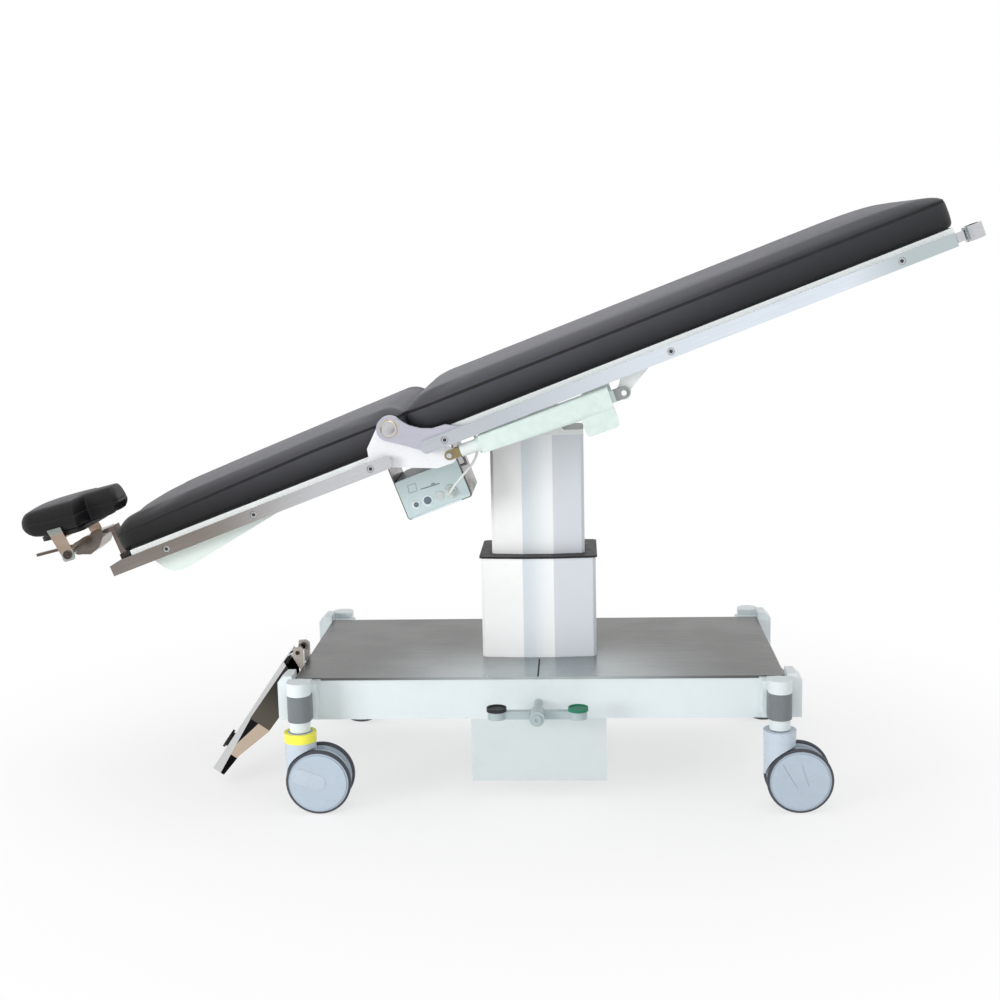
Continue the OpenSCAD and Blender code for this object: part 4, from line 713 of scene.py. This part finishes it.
# Cover of the base: two folded stainless sheets, brushed along their length and laid on the frame.
# They meet before the column, where a dark strip in the gap is painted shade. The grey sleeves
# round the caster arms, the steel stems and the column's black collar come with them.
def brushed(name, colour, rough=0.3, streaks=(6, 6, 700), turn=(0, 0, 0), spread=0.12, depth=0.00002,
            tone=None):
    """Metal with a ground or brushed surface: long fine streaks that vary its shine and tone."""
    finish = Finish(name, {"Metallic": 1})
    spot = finish.place(streaks, turn)
    grain = finish.noise(spot, 1, 4, 0.6)
    wide = finish.noise(finish.place(), 9, 3)
    skin = finish.blend(finish.fade(grain * 0.7 + wide * 0.3, 0.35, 0.65),
                        shade(colour, 1 - spread), shade(colour, 1 + spread))
    finish.feed("Base Color", tone(finish, skin) if tone else skin)
    finish.feed("Roughness", finish.fade(grain, 0.3, 0.7) * 0.12 + finish.fade(wide, 0.3, 0.7) * 0.06
                + (rough - 0.09))
    finish.relief(grain, depth, 0.4)
    return finish.material


def cover_painted_reflection(finish, skin):
    """A painted reflection of the white column: a pale patch on the near side before it, with the sheet
    darker towards the two ends and the far side.
    """
    over = finish.measure((1, 0, 0), (column_x, 0, 0))
    middle = 1 - finish.fade(over.math("ABSOLUTE", over), 0.05, 0.4)
    near = 1 - finish.fade(finish.measure((0, 1, 0), (0, 0, 0)), -0.22, 0.05)
    return finish.blend(middle * near * 0.8, skin, tint(194, 203, 205))


cover_sheet = brushed("stainless_sheet", tint(98, 98, 97), 0.3, (4, 900, 4), spread=0.05,
                      tone=cover_painted_reflection)
dress(["cover_head", "cover_foot"], cover_sheet, 0.0006)
dress(["arm_sleeves"], moulded("sleeve_plastic", tint(116, 122, 125), 0.45))
head_sheet_low, head_sheet_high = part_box("cover_head")
split_x = (head_sheet_high.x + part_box("cover_foot")[0].x) / 2
split_half, split_rise = 0.0017, 0.0003
split_ends = (head_sheet_low.y + 0.002, column_low.y - 0.001)
split_points = [(split_x + side * split_half, y, head_sheet_high.z + rise)
                for rise in (-split_rise, split_rise) for y in split_ends for side in (-1, 1)]
split_faces = [(0, 1, 3, 2), (4, 6, 7, 5), (0, 4, 5, 1), (2, 3, 7, 6), (0, 2, 6, 4), (1, 5, 7, 3)]
# Painted shade: a thin dark strip fills the gap where the two sheets meet.
show("cover_split", split_points, split_faces, moulded("split_shadow", tint(24, 24, 25), 0.6),
     "base", "black_plastic")
dress(["caster_stems", "lift_actuator", "lift_ram", "tilt_shaft"],
      brushed("satin_steel", tint(186, 188, 191), 0.24))
dress(["column_collar", "head_plate"], moulded("black_plastic", tint(17, 17, 19), 0.5))


# Twin-wheel casters, 125 mm, moulded in pale blue plastic with thin grey tyres. Only the one under
# the head end on the near side has a yellow ring, which marks the one that steers. The near discs
# have low moulded marks: a rounded tongue at the head end and two slanted lines at the foot end.
casters = ["head_near", "head_far", "foot_near", "foot_far"]
dress(["caster_" + corner for corner in casters],
      moulded("caster_plastic", tint(196, 208, 219), 0.32, 0.03))
dress(["wheels_" + corner for corner in casters],
      moulded("wheel_plastic", tint(184, 197, 210), 0.32, 0.03))
dress(["tyres_" + corner for corner in casters], moulded("tyre_grey", tint(66, 68, 76), 0.55))


def strip(first, second, wide):
    """Outline in mm of a strip with round ends between two points."""
    turn = math.atan2(second[1] - first[1], second[0] - first[0])
    outline = []
    for end, start in ((second, -90), (first, 90)):
        for step in range(9):
            way = turn + math.radians(start + 22.5 * step)
            outline.append((end[0] + wide / 2 * math.cos(way), end[1] + wide / 2 * math.sin(way)))
    return outline


def raised(outline, thick, put):
    """Points and faces of a flat form in mm that stands out from a surface, with its edge broken."""
    size = len(outline)
    middle = [sum(point[k] for point in outline) / size for k in (0, 1)]
    sunk, edge_start, top_share = 0.2, 0.7, 0.96
    points = []
    for out, share in ((-sunk, 1), (thick * edge_start, 1), (thick, top_share)):
        points += [put(middle[0] + (u - middle[0]) * share, middle[1] + (w - middle[1]) * share, out)
                   for u, w in outline]
    faces = [tuple(range(size))[::-1], tuple(range(2 * size, 3 * size))]
    for ring in (0, size):
        for k in range(size):
            after = (k + 1) % size
            faces.append((ring + k, ring + after, ring + size + after, ring + size + k))
    return points, faces


def on_disc(corner):
    """Gives the function that puts a point in mm from a near wheel's middle on its outer face."""
    wheel_low, wheel_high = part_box("wheels_" + corner)
    middle = (wheel_low + wheel_high) / 2

    def put(u, w, out):
        return Vector((middle.x + u / 1000, wheel_low.y - out / 1000, middle.z + w / 1000))

    return put


disc_lines = [((-34, 34), (-6, -13)), ((2, 32), (15, -9))]
# The raised lines are real, but their darker colour is painted shade along them.
lines = [raised(strip(first, second, 1.1), 0.35, on_disc("foot_near")) for first, second in disc_lines]
show("wheel_marks_foot", *gather(lines), moulded("wheel_marks", tint(158, 170, 186), 0.34, 0.03),
     "roll_foot_near", "caster_plastic")
tongue = raised(strip((-37, 13), (-1, 0), 31), 1.1, on_disc("head_near"))
show("wheel_marks_head", *tongue, moulded("wheel_tongue", tint(190, 202, 214), 0.3, 0.03),
     "roll_head_near", "caster_plastic")
dress(["caster_ring"], moulded("ring_yellow", tint(250, 244, 84), 0.35))


# Lock pedals: a cast bar, sprayed pale grey, that rocks on a round shaft. It carries a black rubber
# pad on its end towards the head and a green one on its end towards the foot.
pedal_rubber = Finish("pedal_rubber", {"Specular IOR Level": 0.4})
rubber_spot = pedal_rubber.place()
rubber_over = pedal_rubber.measure((1, 0, 0), (column_x, 0, 0))
rubber_marks = pedal_rubber.noise(rubber_spot, 70, 4, 0.6)
rubber_wear = pedal_rubber.fade(rubber_marks, 0.35, 0.7)
rubber_green = pedal_rubber.blend(rubber_wear, tint(36, 118, 92), tint(46, 138, 106))
rubber_black = pedal_rubber.blend(rubber_wear, tint(26, 27, 28), tint(38, 39, 40))
pedal_rubber.feed("Base Color", pedal_rubber.blend(rubber_over > 0, rubber_black, rubber_green))
pedal_rubber.feed("Roughness", pedal_rubber.fade(rubber_marks, 0.3, 0.7) * 0.14 + 0.42)
pedal_rubber.relief(pedal_rubber.noise(rubber_spot, 900, 1), 0.00004, 0.5)
dress(["lock_bar_near", "lock_bar_far"], enamel("pedal_paint", tint(172, 186, 189), 0.36))
dress(["lock_pads_near", "lock_pads_far"], pedal_rubber.material, 0.0005)


# Foot control: a folded tray of polished stainless sheet, hung on a pin between two lugs at the
# head end, with one rubber button on its face.
def tray_painted_reflections(finish, skin):
    """Painted reflections on the polished steel: the face plate and its folded edges are bright, the
    cheek behind them is dark, and the strip along the lower edge is warm beside a dark band. The last of
    it is a black bumper."""
    pivot = Vector(joints["foot_tray_fold"]["pos_m"])
    lean = math.radians(34.5)
    plate_back, plate_slope = -0.004, 0.02
    fold_start, fold_back, fold_slope = 0.154, -0.0066, 0.071
    strip_start, strip_back, strip_slope = 0.1645, 0.0117, 0.235
    cheek_length, bumper_start = 0.1605, 0.247
    down = finish.measure((-math.sin(lean), 0, -math.cos(lean)), pivot)
    back = finish.measure((math.cos(lean), 0, -math.sin(lean)), pivot)
    # Painted dark reflection on the cheek.
    cheek = finish.blend(finish.fade(down, 0.06, 0.15), tint(58, 55, 50), tint(92, 88, 80))
    upper = finish.blend(back + down * plate_slope > plate_back, skin, cheek)
    # The strip runs on a line from the cheek's foot to the tip
    strip_line = back + (down - strip_start) * strip_slope
    # Painted warm reflection on the strip, with a painted dark band beside it.
    warm = finish.blend(strip_line > strip_back, tint(30, 30, 32), tint(196, 178, 160))
    tip = finish.blend(down > bumper_start, warm, tint(18, 18, 19))
    fold_line = back - (down - fold_start) * fold_slope
    lower = finish.blend(fold_line > fold_back, skin, tip)
    return finish.blend(down > cheek_length, upper, lower)


dress(["foot_tray"], brushed("tray_steel", tint(206, 207, 208), 0.16, (900, 6, 6), spread=0.05,
                             tone=tray_painted_reflections), 0.0005)
dress(["foot_button"], moulded("button_rubber", tint(26, 26, 29), 0.55))


# Accessory rails of flat polished steel bar, brushed along their length. Socket-head screws hold
# them to spacers on the frames.
def rail_painted_reflection(finish, skin):
    """Painted reflections on the polished rails: the far end of the back rails is dull and brown-grey,
    and the seat rails brighten footwards.
    """
    seat_rail_start = 0.03
    over = finish.measure(along, hinge)
    seat = finish.blend(finish.fade(over, 0.1, 0.6), tint(196, 201, 208), skin)
    foot = finish.blend(finish.fade(over, 0.86, 1.0), seat, tint(188, 199, 202))
    back = finish.blend(finish.fade(over, -0.42, -0.15), tint(150, 142, 136), tint(205, 207, 210))
    return finish.blend(over > seat_rail_start, back, foot)


rail_steel = brushed("rail_steel", tint(224, 232, 241), 0.16, (10, 10, 700), (0, table_tilt, 0), 0.05,
                     tone=rail_painted_reflection)
dress(["seat_rails", "back_rails"], rail_steel, 0.0012)
turned_steel = brushed("turned_steel", tint(206, 207, 210), 0.16, spread=0.05)
socket_shadow = moulded("socket_shadow", tint(52, 54, 58), 0.5)
rail_face, rail_middle = 280, -56
screw_profile = [(-30, 4), (-8, 4), (-8, 6.9), (-0.9, 6.9), (-0.35, 6.3), (-0.3, 5.6), (-0.9, 5.2),
                 (-0.9, 4.9), (-0.4, 4.6), (-0.4, 3.3), (-3.4, 3.2), (-3.6, 0.6)]
screw_cup_profile = [(-3.3, 3.1), (-1.4, 3.1), (-1.4, 0.6)]


def screw_heads(name, places, body, node):
    """Socket-head screws: a shank, a head with a turned groove, and a hexagonal socket."""
    forms, cups = [], []
    for side in (-1, 1):
        for u in places:
            centre = on_table(u, side * rail_face, rail_middle)
            forms.append(turned(screw_profile, centre, (0, side, 0), 48, (9, 10)))
            cups.append(turned(screw_cup_profile, centre, (0, side, 0), 24))
    show(name, *gather(forms), turned_steel, body, "cap_steel", [node], 30)
    show(name + "_cups", *gather(cups), socket_shadow, body, "cap_steel")


screw_heads("seat_screw_heads", (90, 535, 973), "tabletop", "seat_screws")
screw_heads("back_screw_heads", (-59, -298, -479), "back", "back_screws")


# Back hinge: aluminium plates behind the rails, and turned steel pins through them. Each pin has a
# dished cap on a brass washer.
dress(["hinge_plates"], brushed("hinge_aluminium", tint(206, 206, 220), 0.34, spread=0.04))
hinge_tones = Finish("hinge_cap_steel", {"Metallic": 1})
hinge_grain = hinge_tones.noise(hinge_tones.place(), 160, 3)
hinge_out = hinge_tones.measure((0, 1, 0), (0, 0, 0))
hinge_side = hinge_out.math("ABSOLUTE", hinge_out)
washer_face = 0.2718
cap_skin = hinge_tones.blend(hinge_grain, tint(196, 196, 199), tint(212, 212, 214))
hinge_tones.feed("Base Color", hinge_tones.blend(hinge_side < washer_face, cap_skin, tint(214, 196, 132)))
hinge_tones.feed("Roughness", hinge_grain * 0.12 + 0.16)
hinge_face = 270
pin_profile = [(-24, 7.9), (0, 7.9), (0, 17), (1, 17), (1.5, 16.5), (1.5, 15.5), (4.8, 15.5),
               (6, 14.8), (6.5, 13.6), (6.5, 12.6), (5.6, 11.4), (5.3, 8), (5.3, 0.8)]
pin_forms = [turned(pin_profile, on_table(0, side * hinge_face, 0), (0, side, 0), 64)
             for side in (-1, 1)]
show("hinge_pin_caps", *gather(pin_forms), hinge_tones.material, "tabletop", "cap_steel",
     ["hinge_pins"], 30)


# Control box: painted sheet steel in a folded stainless cradle under the frame. Its front has two
# open sockets with pale rims, a blanked one, a slot with its tab and a small framed window, and
# the cradle's bright lip runs along its lower edge.
dress(["control_box"], enamel("box_paint", tint(204, 221, 223), 0.36), 0.0012)
sheet_depth = 0.000004
# The cradle's steel is painted dark, as a painted dark reflection.
dress(["box_cradle"], brushed("cradle_steel", tint(118, 114, 112), 0.24, (6, 6, 40), spread=0.04,
                              depth=sheet_depth), 0.0005)


def on_box(u, w, out):
    """A point in millimetres on the front of the control box, or in front of it."""
    return on_table(u, box_front - out, w)


def on_socket_line(profile, u):
    """A turned form in the row of the box's sockets, u millimetres from the back hinge."""
    return turned(profile, on_box(u, socket_line, 0), near_side, 40)


rims, cups = [], []
for rim_u, rim_r in ((-26, 6), (-2, 8.5)):
    rims.append(on_socket_line([(-0.5, rim_r + 2.2), (0.9, rim_r + 2), (1.4, rim_r + 1.3),
                                (1.4, rim_r - 0.4), (0.8, rim_r - 0.8), (-2.9, rim_r - 0.9)], rim_u))
    cups.append(on_socket_line([(-0.4, rim_r - 1), (-0.2, rim_r - 1), (-0.2, rim_r * 0.45),
                                (0.2, rim_r * 0.4), (0.2, 0.6)], rim_u))
blank_u = 22
blank = on_socket_line([(-0.5, 10), (0.7, 10), (1.2, 9.5), (1.2, 0.8)], blank_u)
lip_w = -187.6
lip = raised(strip((-43, lip_w), (59, lip_w), 3.6), 2, on_box)
lip_steel = brushed("box_lip_steel", tint(232, 242, 247), 0.2, (6, 6, 40), spread=0.03,
                    depth=sheet_depth)
slots = [raised(strip((-6, -140), (31, -142.5), 2.4), 0.5, on_box),
         raised(strip((18, -139.5), (21.5, -139.8), 5), 0.9, on_box)]
window = [(-28, -124), (-12, -125), (-14.5, -140), (-30.5, -139)]
for corner, following in zip(window, window[1:] + window[:1]):
    slots.append(raised(strip(corner, following, 1), 0.3, on_box))
for name, form, material, slot in (
        ("box_socket_rims", gather(rims), moulded("box_rims", tint(232, 243, 245), 0.3), "box_paint"),
        ("box_socket_cups", gather(cups), moulded("box_cups", tint(104, 122, 132), 0.4), "box_paint"),
        ("box_blank", blank, moulded("box_blank", tint(204, 211, 211), 0.4), "box_paint"),
        ("box_lip", lip, lip_steel, "steel"),
        ("box_slots", gather(slots), moulded("box_marks", tint(142, 154, 156), 0.5), "box_paint")):
    show(name, *form, material, "tabletop", slot)


# Back actuators: moulded mint housings, white ram tubes and brass forks on steel pins. They are
# bought-in parts, hung between the frames.
def actuator_tone(finish, skin):
    """The rear eye is bare grey metal."""
    rear_eye = 0.411
    over = finish.measure(along, hinge)
    return finish.blend(over > rear_eye, skin, tint(150, 152, 152))


actuator_plastic = Finish("actuator_plastic", {"Specular IOR Level": 0.45})
actuator_marks = actuator_plastic.noise(actuator_plastic.place(), 60, 4, 0.6)
actuator_skin = actuator_plastic.blend(actuator_plastic.fade(actuator_marks, 0.35, 0.65),
                                       tint(212, 227, 221), tint(220, 234, 229))
actuator_plastic.feed("Base Color", actuator_tone(actuator_plastic, actuator_skin))
actuator_plastic.feed("Roughness", actuator_marks * 0.14 + 0.34)
actuator_plastic.relief(actuator_plastic.noise(actuator_plastic.place(), 1100, 1), 0.00003, 0.5)
dress(["actuator_near", "actuator_far"], actuator_plastic.material)
ram_steel = Finish("ram_finish", {"Specular IOR Level": 0.5})
fork_end = 0.108
ram_fork = ram_steel.measure(along, hinge) < fork_end
ram_marks = ram_steel.noise(ram_steel.place(), 90, 3)
fork_brass = ram_steel.blend(ram_marks, tint(136, 122, 92), tint(170, 156, 118))
ram_steel.feed("Metallic", ram_fork)
ram_steel.feed("Base Color", ram_steel.blend(ram_fork, tint(228, 236, 233), fork_brass))
ram_steel.feed("Roughness", ram_marks * 0.1 + 0.24)
dress(["ram_near", "ram_far"], ram_steel.material)
fork_u, fork_w = 85.5, -87
fork_bolt_profile = [(-1, 5.2), (0.8, 5.2), (1.2, 4.8), (1.2, 3.6), (2.6, 3.4), (3.2, 2.8), (3.2, 0.6)]
for side, hand in ((-1, "near"), (1, "far")):
    ram_low, ram_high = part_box("ram_" + hand)
    outer = (ram_low.y if side < 0 else ram_high.y) * 1000
    bolt = turned(fork_bolt_profile, on_table(fork_u, outer, fork_w), (0, side, 0), 32, (3, 4))
    show("fork_bolt_" + hand, *bolt, turned_steel, "ram_" + hand + "_body", "cap_steel", smooth=30)


# Pole sockets at the foot end: short turned sleeves of bright steel, one on each side, on a flat
# strap that is fixed to the end of the seat frame.
dress(["pole_sockets"], brushed("socket_chrome", tint(200, 201, 205), 0.14, spread=0.05), 0.0006)


# Headrest: a flat grey steel arm with a clamp block, a brown release lever, and a bent stainless
# bracket that carries the plate under the pad. The bracket turns on two dark bolts.
def strap_painted_reflection(finish, skin):
    """Painted reflections on the bare strap: pale round its bolt and near the pad, and warm between them.
    """
    strap_middle, warm_reach, pale_start = 0.026, 0.014, 0.026
    rise = finish.measure(head_above, head_pivot)
    from_middle = rise.math("ABSOLUTE", rise - strap_middle)
    return finish.blend(finish.fade(from_middle, warm_reach, pale_start), skin, tint(190, 201, 196))


dress(["head_arm"], brushed("arm_steel", tint(134, 124, 118), 0.2, (6, 6, 60), spread=0.06,
                            depth=0.000005), 0.0012)
dress(["head_lever"], enamel("lever_brown", tint(92, 78, 68), 0.25))
dress(["head_bracket"], brushed("bracket_steel", tint(204, 183, 166), 0.24, (6, 6, 30), spread=0.03,
                                depth=sheet_depth, tone=strap_painted_reflection), 0.0006)
bracket_face = 103
head_bolt_profile = [(-1, 9.2), (3.2, 9.2), (3.8, 8.6), (3.8, 6.6), (3.1, 6.3), (3.1, 5), (4.6, 4.7),
                     (5, 4.2), (5, 0.7)]
head_bolts = [turned(head_bolt_profile, on_head(0, side * bracket_face, 0), (0, side, 0), 40)
              for side in (-1, 1)]
show("head_bolts", *gather(head_bolts), brushed("bolt_steel", tint(98, 92, 84), 0.2, spread=0.06),
     "headrest", "cap_steel", smooth=30)
